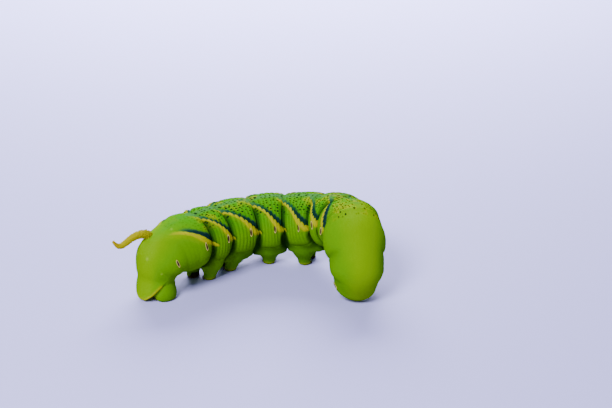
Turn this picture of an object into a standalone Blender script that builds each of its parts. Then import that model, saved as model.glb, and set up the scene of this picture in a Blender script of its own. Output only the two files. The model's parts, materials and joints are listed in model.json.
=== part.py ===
"""Life-size still model of a full-grown death's-head hawkmoth larva, bent in a C on the floor.

The body is a chain of rounded segments strung on a bent spine. Every other piece (head, legs,
prolegs, claspers, horn) is placed from the sizes of the segment that carries it and is cut clear
of that segment by the same small gap. Sizes below are millimetres and degrees; +X is the way the
middle of the body heads, +Z is up and the soles rest on Z = 0.
"""
import math
from collections import namedtuple

import bmesh
import bpy
from mathutils import Matrix, Vector

MM = 0.001
GAP = 0.3
WELD = 0.001
SHARP_EDGE = 50

# Spine: one row for each body segment, from the neck to the tail.
# turn is the bend to the animal's right, dip the bend down towards the head,
# fold the depth of the crease behind the segment as a share of its radius.
Segment = namedtuple("Segment", "name length half_width up down turn dip fold")
SEGMENTS = (
    Segment("prothorax",    4.8, 5.4, 4.3, 4.3, 12, 44, 0.05),
    Segment("mesothorax",   5.5, 6.9, 6.0, 5.2, 15, 44, 0.07),
    Segment("metathorax",   8.2, 8.0, 6.8, 6.2, 14, 42, 0.08),
    Segment("abdomen_1",    6.8, 7.9, 6.7, 6.8, 18, 16, 0.12),
    Segment("abdomen_2",    8.1, 8.1, 7.2, 7.2, 32, -6, 0.13),
    Segment("abdomen_3",   10.7, 8.2, 7.5, 7.3, 29, -11, 0.13),
    Segment("abdomen_4",    9.8, 8.5, 7.8, 7.5, 25, -4, 0.13),
    Segment("abdomen_5",   10.3, 8.4, 7.7, 7.4, 20, -2, 0.13),
    Segment("abdomen_6",    7.2, 8.3, 7.6, 7.3,  5, -1, 0.12),
    Segment("abdomen_7",    7.9, 8.2, 7.7, 6.8, -5, 15, 0.03),
    Segment("abdomen_8",    6.0, 7.3, 6.3, 5.1,  3, 56, 0.02),
    Segment("abdomen_9_10", 6.2, 5.0, 3.0, 4.6,  4, 46, 0.0),
)
COUNT = len(SEGMENTS)
NAMES = [segment.name for segment in SEGMENTS]
STEPS = 16

# Where the middle of abdomen_4 lies, which way it heads and how far it noses up.
MIDDLE_STATION = 6.5
MIDDLE = Vector((3.7, 10.5, 10.8))
HEADING = 9.4
NOSE_UP = 2.1

# Body surface: rings around the spine and how the folds shape each segment.
SIDES = 28
RING_STATIONS = (0.0, 0.06, 0.16, 0.32, 0.5, 0.7, 0.86, 0.95, 1.0)
FRONT_STEEPNESS = 5
REAR_STEEPNESS = 3
FOLD_ON_BACK = 0.45
FOLD_ON_THORAX_BACK = 0.12
THORAX_SEGMENTS = 3
HOOD_LENGTH = 0.5
HOOD_ROUNDNESS = 0.85
TAIL_LENGTH = 0.3
TAIL_ROUNDNESS = 0.6

# Breathing holes: a raised oval rim on each flank.
SPIRACLE_SEGMENTS = (0, 3, 4, 5, 6, 7, 8, 9, 10)
SPIRACLE_STATION = 0.35
SPIRACLE_ANGLE = 13
SPIRACLE_RIM = (0.32, 0.62, 1.15)

# Head, tucked under the thorax.
HEAD_HALF = (3.7, 2.9, 3.6)
HEAD_REACH = 1.9
HEAD_DROP = 1.6
HEAD_TUCK = 36
HEAD_CLEFT = 0.45
HEAD_CLEFT_WIDTH = 0.16
HEAD_NARROWING = 0.16
CHEEK_LONGITUDE = 64
STEMMA_RADIUS = 0.3
STEMMA_ARC = ((-52, -2), (-38, 10), (-20, 14), (-4, 10), (6, -4), (-24, -10))
MANDIBLE = (0.7, 0.65, 1.0)
MANDIBLE_PLACE = (21, -52)
MANDIBLE_LIFT = 0.35
LABRUM = (1.2, 0.5, 0.7)
LABRUM_LATITUDE = -26
LABRUM_LIFT = 0.1
ANTENNA_RADII = (0.45, 0.38, 0.3, 0.25)
ANTENNA_LENGTH = 1.5
ANTENNA_ROOT = 0.5
ANTENNA_LEAN = 0.6
ANTENNA_PLACE = (46, -38)

# Thoracic legs: root, knee, ankle and claw tip, each as (forward, outward, down) from the spine.
THORACIC_LEGS = {
    "prothorax": ((0.9, 3.9, 2.4), (1.4, 4.9, 4.4), (2.6, 4.9, 5.9), (4.0, 4.0, 6.6)),
    "mesothorax": ((-0.4, 3.5, 3.6), (-0.9, 4.6, 6.2), (-0.2, 4.5, 8.2), (1.2, 3.9, 9.4)),
    "metathorax": ((-1.6, 2.9, 4.8), (-2.8, 3.3, 8.2), (-3.7, 3.0, 10.2), (-3.9, 2.4, 11.8)),
}
LEG_RADII = (1.25, 0.95, 0.7, 0.28)

# Prolegs: where each foot stands, as (forward, outward) from under the middle of its segment.
PROLEG_FEET = {
    ("abdomen_3", "right"): (0.3, 1.7),
    ("abdomen_3", "left"): (0.4, 2.4),
    ("abdomen_4", "right"): (0.1, 1.8),
    ("abdomen_4", "left"): (0.4, 2.4),
    ("abdomen_5", "right"): (-1.7, 1.8),
    ("abdomen_5", "left"): (-2.0, 2.2),
    ("abdomen_6", "right"): (-0.7, 2.3),
    ("abdomen_6", "left"): (-3.0, 1.6),
}
PROLEG_HIP_OUT = 3.9
PROLEG_HIP_DOWN = 3.4
# Each ring of a proleg: how far down from hip to sole, its half length and half width.
PROLEG_RINGS = ((0.0, 3.1, 2.6), (0.3, 3.1, 2.6), (0.5, 2.7, 2.3), (0.66, 2.1, 1.9),
                (0.8, 1.7, 1.55), (0.88, 1.6, 1.5), (0.95, 1.6, 1.5), (1.0, 1.35, 1.25))

# Anal claspers and plate.
CLASPER_OUT = 2.9
CLASPER_BACK = -0.2
CLASPER_TOP = 6.0
CLASPER_LEAN_IN = 0.4
CLASPER_RINGS = ((0.0, 2.6, 2.4), (0.35, 3.0, 2.7), (0.65, 3.1, 2.7), (0.85, 3.0, 2.6),
                 (0.95, 2.7, 2.3), (1.0, 2.3, 1.9))
PLATE_FRONT = 11.2
PLATE_TIP = 12.0
PLATE_THICKNESS = 0.7
PLATE_SPREAD = 76
PLATE_TAPER = 0.88
PLATE_TAPER_CURVE = 0.9
PLATE_REACH = 3.0
PLATE_ROWS = 6
PLATE_COLUMNS = 14

# Horn: where it grows, points as (backward, up) from its root, and its radius at each.
HORN_STATION = 10.3
HORN_ANGLE = 105
HORN_LEAN = 8
HORN_POINTS = ((-1.0, -1.4), (0.7, 0.7), (2.3, 1.3), (4.0, 1.3), (5.5, 0.8), (6.9, 0.1),
               (8.3, -0.4), (9.4, 0.1), (10.4, 1.5))
HORN_RADII = (1.4, 1.15, 1.0, 0.92, 0.85, 0.78, 0.68, 0.5, 0.25)
# Warts of the horn: how far along it they start and end, and how much smaller they get.
TUBERCLE_ROWS = 9
TUBERCLES_ROUND = 6
TUBERCLE_START = 0.22
TUBERCLE_END = 0.94
TUBERCLE_SHRINK = 0.45
TUBERCLE_SEAT = 0.95
TUBERCLE_RADIUS = 0.38
TUBERCLE_TIP = 0.08
TUBERCLE_HEIGHT = 0.8

FLESH = (0.24, 0.42, 0.02)
THORAX_GREEN = (0.30, 0.46, 0.01)
HEAD_GREEN = (0.22, 0.38, 0.03)
HORN_YELLOW = (0.55, 0.42, 0.02)
LEG_BROWN = (0.05, 0.06, 0.02)
MOUTH_BROWN = (0.16, 0.10, 0.03)

Frame = namedtuple("Frame", "centre forward up side")


def clear_scene():
    for old in list(bpy.data.objects):
        bpy.data.objects.remove(old, do_unlink=True)


def make_collection(name):
    collection = bpy.data.collections.new(name)
    bpy.context.scene.collection.children.link(collection)
    return collection


def make_material(name, colour, roughness=0.45):
    material = bpy.data.materials.new(name)
    material.use_nodes = True
    shader = material.node_tree.nodes["Principled BSDF"]
    shader.inputs["Base Color"].default_value = (*colour, 1.0)
    shader.inputs["Roughness"].default_value = roughness
    shader.inputs["Metallic"].default_value = 0.0
    return material


def make_object(name, bm, collection, material=None):
    """Turn a bmesh into a named object; sizes stay millimetres until the end."""
    bm.normal_update()
    bmesh.ops.recalc_face_normals(bm, faces=bm.faces)
    if bm.calc_volume(signed=True) < 0:
        bmesh.ops.reverse_faces(bm, faces=bm.faces)
    mesh = bpy.data.meshes.new(name)
    bm.to_mesh(mesh)
    bm.free()
    obj = bpy.data.objects.new(name, mesh)
    collection.objects.link(obj)
    if material:
        mesh.materials.append(material)
    return obj


def turned(vector, axis, degrees):
    return Matrix.Rotation(math.radians(degrees), 3, axis) @ vector


def bend_spine():
    """Walk from the middle of the body to both ends, turning a little at each step."""
    heading = math.radians(HEADING)
    nose = math.radians(NOSE_UP)
    forward = Vector((math.cos(nose) * math.cos(heading),
                      math.cos(nose) * math.sin(heading), math.sin(nose)))
    side = Vector((math.sin(heading), -math.cos(heading), 0.0))
    start = Frame(MIDDLE, forward, side.cross(forward), side)
    frames = {round(MIDDLE_STATION * STEPS): start}
    for towards_tail in (False, True):
        frame = start
        index = round(MIDDLE_STATION * STEPS)
        last = COUNT * STEPS if towards_tail else 0
        sign = -1 if towards_tail else 1
        while index != last:
            segment = SEGMENTS[index // STEPS if towards_tail else (index - 1) // STEPS]
            frame = step_along(frame, segment, sign)
            index -= sign
            frames[index] = frame
    return [frames[index] for index in range(COUNT * STEPS + 1)]


def step_along(frame, segment, sign):
    half_turn = -sign * segment.turn / STEPS / 2
    half_dip = -sign * segment.dip / STEPS / 2
    chord = turned(turned(frame.forward, frame.side, half_dip), frame.up, half_turn)
    forward = turned(turned(frame.forward, frame.side, 2 * half_dip), frame.up, 2 * half_turn).normalized()
    up = turned(turned(frame.up, frame.side, 2 * half_dip), frame.up, 2 * half_turn)
    side = forward.cross(up).normalized()
    centre = frame.centre + chord * (sign * segment.length / STEPS)
    return Frame(centre, forward, side.cross(forward), side)


SPINE = bend_spine()


def frame_at(station):
    """The spine's frame at a station: 0 is the neck, 1 the back of the prothorax, and so on."""
    place = min(max(station, 0.0), COUNT) * STEPS
    index = min(int(place), COUNT * STEPS - 1)
    part = place - index
    first, second = SPINE[index], SPINE[index + 1]
    forward = first.forward.lerp(second.forward, part).normalized()
    side = first.side.lerp(second.side, part)
    side = (side - forward * side.dot(forward)).normalized()
    return Frame(first.centre.lerp(second.centre, part), forward, side.cross(forward), side)


def blend_sizes(station, sizes):
    """A smooth value along the body from one value at the middle of each segment."""
    place = min(max(station - 0.5, 0.0), COUNT - 1.001)
    index = int(place)
    part = place - index
    part = part * part * (3 - 2 * part)
    return sizes[index] * (1 - part) + sizes[index + 1] * part


def fold_at(station, index):
    """How far the skin draws in towards the creases at the two ends of a segment."""
    part = min(max(station - index, 0.0), 1.0)
    front = SEGMENTS[index - 1].fold if index else 0.0
    rear = SEGMENTS[index].fold
    return front * (1 - part) ** FRONT_STEEPNESS + rear * part ** REAR_STEEPNESS


def end_rounding(station):
    """The hood over the neck and the tail close in to blunt ends."""
    if station < HOOD_LENGTH:
        return math.sqrt(1 - HOOD_ROUNDNESS * (1 - station / HOOD_LENGTH) ** 2)
    if station > COUNT - TAIL_LENGTH:
        return math.sqrt(1 - TAIL_ROUNDNESS * (1 - (COUNT - station) / TAIL_LENGTH) ** 2)
    return 1.0


def drawn_in(station, index, angle):
    """The share of its full radius that the skin keeps at a place; folds are shallow on the back."""
    on_back = FOLD_ON_THORAX_BACK if index < THORAX_SEGMENTS else FOLD_ON_BACK
    back = max(0.0, math.sin(angle))
    return (1 - fold_at(station, index) * (1 - (1 - on_back) * back)) * end_rounding(station)


def body_ring(station, index, grow=0.0, slide=0.0):
    """One ring of the body: grow moves it out, slide moves it along the spine."""
    frame = frame_at(station)
    width = blend_sizes(station, [s.half_width for s in SEGMENTS])
    up = blend_sizes(station, [s.up for s in SEGMENTS])
    down = blend_sizes(station, [s.down for s in SEGMENTS])
    points = []
    for corner in range(SIDES):
        angle = 2 * math.pi * corner / SIDES
        across = width * math.cos(angle)
        height = (up if math.sin(angle) > 0 else down) * math.sin(angle)
        out = (frame.side * across + frame.up * height) * drawn_in(station, index, angle)
        out += out.normalized() * grow
        points.append(frame.centre + out + frame.forward * slide)
    return points


def surface_point(station, degrees):
    """A point of the skin, its outward direction and the spine's frame there."""
    index = min(int(station), COUNT - 1)
    frame = frame_at(station)
    angle = math.radians(degrees)
    width = blend_sizes(station, [s.half_width for s in SEGMENTS])
    height = blend_sizes(station, [s.up if angle > 0 else s.down for s in SEGMENTS])
    reach = frame.side * width * math.cos(angle) + frame.up * height * math.sin(angle)
    out = frame.side * math.cos(angle) / width + frame.up * math.sin(angle) / height
    return frame.centre + reach * drawn_in(station, index, angle), out.normalized(), frame


def loft(rings):
    """A closed solid through rings of the same number of points."""
    bm = bmesh.new()
    layers = [[bm.verts.new(point) for point in ring] for ring in rings]
    for first, second in zip(layers, layers[1:]):
        for corner in range(len(first)):
            following = (corner + 1) % len(first)
            bm.faces.new((first[corner], first[following], second[following], second[corner]))
    bm.faces.new(layers[0])
    bm.faces.new(layers[-1])
    return bm


def rest_on_floor(bm, level=0.0):
    for vert in bm.verts:
        vert.co.z = max(vert.co.z, level)


def segment_solid(index, grow=0.0):
    """One segment between its two cut planes; grow makes the larger form used as a cutter."""
    rings = []
    for part in RING_STATIONS:
        slide = grow * (1 - 2 * part)
        if index > 0:
            slide -= GAP / 2 * (1 - part)
        if index < COUNT - 1:
            slide += GAP / 2 * part
        rings.append(body_ring(index + part, index, grow, slide))
    return loft(rings)


def round_form(half_sizes, centre, forward, up, around=16, along=10):
    """An egg-shaped solid: half sizes across, along forward and along up."""
    bm = bmesh.new()
    bmesh.ops.create_uvsphere(bm, u_segments=around, v_segments=along, radius=1.0)
    side = forward.cross(up).normalized()
    for vert in bm.verts:
        across, ahead, rise = (vert.co[k] * half_sizes[k] for k in range(3))
        vert.co = centre + side * across + forward * ahead + up * rise
    return bm


def tapered_tube(name, points, radii, collection, resolution=1, smooth=3):
    """A curve with its own thickness at each point, turned into a closed mesh."""
    curve = bpy.data.curves.new(name, "CURVE")
    curve.dimensions = "3D"
    curve.bevel_depth = 1.0
    curve.bevel_resolution = resolution
    curve.resolution_u = smooth
    curve.use_fill_caps = True
    spline = curve.splines.new("BEZIER")
    spline.bezier_points.add(len(points) - 1)
    for knot, point, radius in zip(spline.bezier_points, points, radii):
        knot.co = point
        knot.radius = radius
        knot.handle_left_type = knot.handle_right_type = "AUTO"
    holder = bpy.data.objects.new(name + "_curve", curve)
    collection.objects.link(holder)
    bpy.context.view_layer.update()
    evaluated = holder.evaluated_get(bpy.context.evaluated_depsgraph_get())
    mesh = bpy.data.meshes.new_from_object(evaluated)
    bpy.data.objects.remove(holder, do_unlink=True)
    bm = bmesh.new()
    bm.from_mesh(mesh)
    bpy.data.meshes.remove(mesh)
    bmesh.ops.remove_doubles(bm, verts=bm.verts, dist=WELD)
    return bm


def run_boolean(obj, tools, operation):
    """Cut obj by, or join it with, the tool objects in one modifier, then remove the tools."""
    scratch = make_collection(obj.name + "_tools")
    for tool in tools:
        for holder in list(tool.users_collection):
            holder.objects.unlink(tool)
        scratch.objects.link(tool)
    modifier = obj.modifiers.new("shape", "BOOLEAN")
    modifier.operation = operation
    if len(tools) == 1:
        modifier.object = tools[0]
    else:
        modifier.operand_type = "COLLECTION"
        modifier.collection = scratch
    shaped = evaluated_mesh(obj)
    if not is_closed(shaped):
        modifier.solver = "MANIFOLD"
        shaped = evaluated_mesh(obj)
    obj.modifiers.remove(modifier)
    old = obj.data
    obj.data = shaped
    shaped.name = obj.name
    bpy.data.meshes.remove(old)
    for tool in tools:
        bpy.data.objects.remove(tool, do_unlink=True)
    bpy.data.collections.remove(scratch)
    keep_largest(obj)


def evaluated_mesh(obj):
    bpy.context.view_layer.update()
    evaluated = obj.evaluated_get(bpy.context.evaluated_depsgraph_get())
    return bpy.data.meshes.new_from_object(evaluated)


def is_closed(mesh):
    bm = bmesh.new()
    bm.from_mesh(mesh)
    closed = all(edge.is_manifold for edge in bm.edges)
    bm.free()
    return closed


def keep_largest(obj):
    """Keep only the closed surface that fills the most room."""
    bm = bmesh.new()
    bm.from_mesh(obj.data)
    waiting = set(bm.verts)
    shells = []
    while waiting:
        shell = {waiting.pop()}
        edge_of_search = list(shell)
        while edge_of_search:
            vert = edge_of_search.pop()
            for edge in vert.link_edges:
                other = edge.other_vert(vert)
                if other not in shell:
                    shell.add(other)
                    edge_of_search.append(other)
        waiting -= shell
        shells.append(shell)
    if len(shells) > 1:
        def reach(shell):
            lows = [min(v.co[k] for v in shell) for k in range(3)]
            highs = [max(v.co[k] for v in shell) for k in range(3)]
            return math.prod(high - low for low, high in zip(lows, highs))
        largest = max(shells, key=reach)
        bmesh.ops.delete(bm, geom=[v for v in bm.verts if v not in largest], context="VERTS")
    bm.to_mesh(obj.data)
    bm.free()


def cutters_of(indices, collection):
    """Slightly grown copies of the named segments, to cut a piece clear of them."""
    tools = []
    for index in indices:
        bm = segment_solid(index, GAP)
        tools.append(make_object("cutter_" + NAMES[index], bm, collection))
    return tools


def build_spiracle_rims(index, scratch):
    rims = []
    for mirror in (0, 1):
        degrees = 180 - SPIRACLE_ANGLE if mirror else SPIRACLE_ANGLE
        centre, out, frame = surface_point(index + SPIRACLE_STATION, degrees)
        along = frame.forward
        across = out.cross(along).normalized()
        rim = round_form((SPIRACLE_RIM[1], SPIRACLE_RIM[0], SPIRACLE_RIM[2]), centre, out, across, 10, 6)
        rims.append(make_object("rim", rim, scratch))
    return rims


def build_segments(body, scratch, materials):
    segments = {}
    for index, segment in enumerate(SEGMENTS):
        bm = segment_solid(index)
        rest_on_floor(bm)
        material = materials["thorax" if index < THORAX_SEGMENTS else "flesh"]
        obj = make_object(segment.name, bm, body, material)
        if index in SPIRACLE_SEGMENTS:
            run_boolean(obj, build_spiracle_rims(index, scratch), "UNION")
        segments[segment.name] = obj
    return segments


def head_frame():
    neck = frame_at(0.0)
    forward = turned(neck.forward, neck.side, -HEAD_TUCK).normalized()
    up = neck.side.cross(forward)
    centre = neck.centre + neck.forward * HEAD_REACH - neck.up * HEAD_DROP
    return Frame(centre, forward, up, neck.side)


def head_solid(grow=0.0):
    """Two rounded cheeks with a shallow cleft between them over the top of the head."""
    frame = head_frame()
    bm = bmesh.new()
    bmesh.ops.create_uvsphere(bm, u_segments=20, v_segments=14, radius=1.0)
    for vert in bm.verts:
        across, ahead, rise = vert.co
        cleft = HEAD_CLEFT * math.exp(-(across / HEAD_CLEFT_WIDTH) ** 2) * max(0.0, rise) / HEAD_HALF[2]
        narrow = 1 - HEAD_NARROWING * max(0.0, -rise)
        vert.co = (frame.centre + frame.side * across * narrow * (HEAD_HALF[0] + grow)
                   + frame.forward * ahead * (HEAD_HALF[1] + grow)
                   + frame.up * rise * (1 - cleft) * (HEAD_HALF[2] + grow))
    return bm


def head_point(longitude, latitude):
    """A point of the head: longitude from the face to the cheek, latitude up to the crown."""
    frame = head_frame()
    turn, rise = math.radians(longitude), math.radians(latitude)
    across = math.cos(rise) * math.sin(turn)
    ahead = math.cos(rise) * math.cos(turn)
    narrow = 1 - HEAD_NARROWING * max(0.0, -math.sin(rise))
    out = (frame.side * across * HEAD_HALF[0] * narrow + frame.forward * ahead * HEAD_HALF[1]
           + frame.up * math.sin(rise) * HEAD_HALF[2])
    return frame.centre + out, out.normalized()


def build_head(body, scratch, materials):
    frame = head_frame()
    bm = head_solid()
    rest_on_floor(bm)
    head = make_object("head", bm, body, materials["head"])
    eyes = []
    for sign in (-1, 1):
        for latitude, shift in STEMMA_ARC:
            centre, out = head_point(sign * (CHEEK_LONGITUDE + shift), latitude)
            eye = round_form((STEMMA_RADIUS,) * 3, centre, out, frame.up, 8, 6)
            eyes.append(make_object("stemma", eye, scratch))
    run_boolean(head, eyes, "UNION")
    return head


def build_mouth(body, scratch, materials):
    frame = head_frame()
    pieces = []
    for side_name, sign in (("left", -1), ("right", 1)):
        centre, out = head_point(sign * MANDIBLE_PLACE[0], MANDIBLE_PLACE[1])
        jaw = round_form(MANDIBLE, centre + out * MANDIBLE_LIFT, out, frame.up, 10, 8)
        pieces.append(make_object("mandible_" + side_name, jaw, body, materials["mouth"]))
        root, out = head_point(sign * ANTENNA_PLACE[0], ANTENNA_PLACE[1])
        lean = (out + frame.forward * ANTENNA_LEAN).normalized()
        points = [root + lean * (ANTENNA_LENGTH * k / 3 - ANTENNA_ROOT) for k in range(4)]
        feeler = tapered_tube("antenna", points, ANTENNA_RADII, scratch, resolution=1, smooth=2)
        pieces.append(make_object("antenna_" + side_name, feeler, body, materials["head"]))
    centre, out = head_point(0, LABRUM_LATITUDE)
    lip = round_form(LABRUM, centre + out * LABRUM_LIFT, out, frame.up, 10, 6)
    pieces.append(make_object("labrum", lip, body, materials["head"]))
    for piece in pieces:
        cutter = make_object("cutter_head", head_solid(GAP), scratch)
        run_boolean(piece, [cutter], "DIFFERENCE")
    return pieces


def build_thoracic_legs(body, scratch, materials):
    legs = []
    for name, offsets in THORACIC_LEGS.items():
        index = NAMES.index(name)
        frame = frame_at(index + 0.5)
        for side_name, sign in (("left", -1), ("right", 1)):
            points = [frame.centre + frame.forward * ahead + frame.side * sign * out - frame.up * drop
                      for ahead, out, drop in offsets]
            bm = tapered_tube("leg", points, LEG_RADII, scratch, resolution=1, smooth=3)
            leg = make_object(f"leg_{name}_{side_name}", bm, body, materials["leg"])
            tools = cutters_of([k for k in (index - 1, index, index + 1) if k >= 0], scratch)
            tools.append(make_object("cutter_head", head_solid(GAP), scratch))
            run_boolean(leg, tools, "DIFFERENCE")
            legs.append(leg)
    return legs


def oval_ring(centre, long_axis, wide_axis, half_length, half_width, corners=16):
    ring = []
    for corner in range(corners):
        angle = 2 * math.pi * corner / corners
        ring.append(centre + long_axis * half_length * math.cos(angle)
                    + wide_axis * half_width * math.sin(angle))
    return ring


def flat_direction(vector):
    return Vector((vector.x, vector.y, 0.0)).normalized()


def build_prolegs(body, scratch, materials):
    prolegs = []
    for (name, side_name), (ahead, out) in PROLEG_FEET.items():
        index = NAMES.index(name)
        frame = frame_at(index + 0.5)
        sign = 1 if side_name == "right" else -1
        forward, side = flat_direction(frame.forward), flat_direction(frame.side)
        hip = frame.centre + side * sign * PROLEG_HIP_OUT - Vector((0, 0, PROLEG_HIP_DOWN))
        foot = frame.centre + forward * ahead + side * sign * out
        foot.z = 0.0
        rings = [oval_ring(hip.lerp(foot, part), forward, side, long, wide)
                 for part, long, wide in PROLEG_RINGS]
        proleg = make_object(f"proleg_{name[-1]}_{side_name}", loft(rings), body, materials["flesh"])
        tools = cutters_of((index - 1, index, index + 1), scratch)
        run_boolean(proleg, tools, "DIFFERENCE")
        prolegs.append(proleg)
    return prolegs


def build_claspers(body, scratch, materials):
    frame = frame_at(COUNT)
    back, side = flat_direction(frame.up), flat_direction(frame.side)
    claspers = []
    for side_name, sign in (("left", -1), ("right", 1)):
        foot = frame.centre + side * sign * CLASPER_OUT - back * CLASPER_BACK
        foot.z = 0.0
        top = foot + Vector((0, 0, CLASPER_TOP)) - side * sign * CLASPER_LEAN_IN
        rings = [oval_ring(top.lerp(foot, part), back, side, long, wide)
                 for part, long, wide in CLASPER_RINGS]
        clasper = make_object("clasper_" + side_name, loft(rings), body, materials["flesh"])
        tools = cutters_of((COUNT - 2, COUNT - 1), scratch)
        tools.append(make_object("cutter_plate", plate_solid(GAP), scratch))
        run_boolean(clasper, tools, "DIFFERENCE")
        claspers.append(clasper)
    return claspers


def plate_solid(grow=0.0):
    """The anal plate: a shield over the back of the tail that narrows to a blunt tip."""
    bm = bmesh.new()
    shells = []
    front = PLATE_FRONT - grow / SEGMENTS[-1].length
    tip = PLATE_TIP + grow / SEGMENTS[-1].length
    for lift in (GAP - grow, GAP + PLATE_THICKNESS + grow):
        grid = []
        for row in range(PLATE_ROWS + 1):
            share = row / PLATE_ROWS
            station = front + (tip - front) * share
            half_angle = (PLATE_SPREAD * (1 - PLATE_TAPER * share ** PLATE_TAPER_CURVE)
                          + math.degrees(grow / PLATE_REACH))
            line = []
            for column in range(PLATE_COLUMNS + 1):
                degrees = 90 + half_angle * (2 * column / PLATE_COLUMNS - 1)
                line.append(plate_point(station, degrees, lift))
            grid.append(line)
        shells.append([[bm.verts.new(point) for point in line] for line in grid])
    inner, outer = shells
    for row in range(PLATE_ROWS):
        for column in range(PLATE_COLUMNS):
            for shell in shells:
                bm.faces.new((shell[row][column], shell[row][column + 1],
                              shell[row + 1][column + 1], shell[row + 1][column]))
    rim = [(row, 0) for row in range(PLATE_ROWS)]
    rim += [(PLATE_ROWS, column) for column in range(PLATE_COLUMNS)]
    rim += [(row, PLATE_COLUMNS) for row in range(PLATE_ROWS, 0, -1)]
    rim += [(0, column) for column in range(PLATE_COLUMNS, 0, -1)]
    for (row, column), (next_row, next_column) in zip(rim, rim[1:] + rim[:1]):
        bm.faces.new((inner[row][column], inner[next_row][next_column],
                      outer[next_row][next_column], outer[row][column]))
    bmesh.ops.triangulate(bm, faces=bm.faces)
    return bm


def plate_point(station, degrees, lift):
    """A point just off the tail's back; past the tail's end the shield runs straight on."""
    inside = min(station, COUNT - TAIL_LENGTH)
    point, out, frame = surface_point(inside, degrees)
    return point + out * lift - frame.forward * (station - inside) * SEGMENTS[-1].length


def build_horn(body, scratch, materials):
    """A rough horn that sweeps back, sags and turns up again at its tip."""
    root, _, frame = surface_point(HORN_STATION, HORN_ANGLE)
    backward = turned(flat_direction(-frame.forward), Vector((0, 0, 1)), -HORN_LEAN)
    points = [root + backward * back + Vector((0, 0, rise)) for back, rise in HORN_POINTS]
    bm = tapered_tube("horn", points, HORN_RADII, scratch, resolution=2, smooth=2)
    horn = make_object("horn", bm, body, materials["horn"])
    run_boolean(horn, build_tubercles(points, scratch), "UNION")
    run_boolean(horn, cutters_of((COUNT - 3, COUNT - 2), scratch), "DIFFERENCE")
    return horn


def build_tubercles(points, scratch):
    """Blunt warts in staggered rows round the horn, smaller towards its tip."""
    spikes = []
    for row in range(TUBERCLE_ROWS):
        share = TUBERCLE_START + (TUBERCLE_END - TUBERCLE_START) * row / (TUBERCLE_ROWS - 1)
        place = share * (len(points) - 1)
        index = min(int(place), len(points) - 2)
        part = place - index
        centre = points[index].lerp(points[index + 1], part)
        along = (points[index + 1] - points[index]).normalized()
        radius = HORN_RADII[index] * (1 - part) + HORN_RADII[index + 1] * part
        first = along.orthogonal().normalized()
        size = 1 - TUBERCLE_SHRINK * share
        for step in range(TUBERCLES_ROUND):
            out = turned(first, along, 360 * (step + 0.5 * (row % 2)) / TUBERCLES_ROUND)
            bm = bmesh.new()
            bmesh.ops.create_cone(bm, cap_ends=True, segments=5, radius1=TUBERCLE_RADIUS * size,
                                  radius2=TUBERCLE_TIP, depth=TUBERCLE_HEIGHT * size)
            turn = Vector((0, 0, 1)).rotation_difference(out).to_matrix()
            for vert in bm.verts:
                vert.co = centre + out * radius * TUBERCLE_SEAT + turn @ vert.co
            spikes.append(make_object("tubercle", bm, scratch))
    return spikes


def build_plate(body, materials):
    bm = plate_solid()
    rest_on_floor(bm)
    return make_object("anal_plate", bm, body, materials["flesh"])


def seat_head(segments, scratch):
    """The hood of the prothorax is hollowed just enough to take the back of the head."""
    cutter = make_object("cutter_head", head_solid(GAP), scratch)
    run_boolean(segments["prothorax"], [cutter], "DIFFERENCE")


def finish(body):
    """Millimetres become metres, and the round forms are shaded smooth."""
    for obj in body.objects:
        obj.data.transform(Matrix.Scale(MM, 4))
        obj.data.shade_smooth()
        obj.data.set_sharp_from_angle(angle=math.radians(SHARP_EDGE))


def main():
    clear_scene()
    body = make_collection("hawkmoth_larva")
    scratch = make_collection("cutters")
    materials = {
        "flesh": make_material("abdomen_skin", FLESH),
        "thorax": make_material("thorax_skin", THORAX_GREEN, 0.4),
        "head": make_material("head_capsule", HEAD_GREEN, 0.35),
        "horn": make_material("horn_skin", HORN_YELLOW, 0.5),
        "leg": make_material("leg_shell", LEG_BROWN, 0.3),
        "mouth": make_material("mouth_parts", MOUTH_BROWN, 0.3),
    }
    segments = build_segments(body, scratch, materials)
    build_head(body, scratch, materials)
    seat_head(segments, scratch)
    build_mouth(body, scratch, materials)
    build_thoracic_legs(body, scratch, materials)
    build_prolegs(body, scratch, materials)
    build_plate(body, materials)
    build_claspers(body, scratch, materials)
    build_horn(body, scratch, materials)
    bpy.data.collections.remove(scratch)
    finish(body)


main()
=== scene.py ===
"""The looks of a life-size death's-head hawkmoth larva, bent in a C with its head tucked under.

One skin covers the body, prolegs, claspers and anal plate. The horn, head, mouth parts, thoracic
legs, breathing holes, foot hooks and bristles are pieces of their own. Shapes are worked out in
millimetres from the body's spine and its segments, and every finish is procedural.
"""
import json
import math
import random
from collections import namedtuple

import bmesh
import bpy
import numpy as np
from bpy.props import FloatProperty, FloatVectorProperty, IntProperty, PointerProperty
from mathutils import Matrix, Vector
from mathutils.bvhtree import BVHTree
from mathutils.kdtree import KDTree

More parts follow.
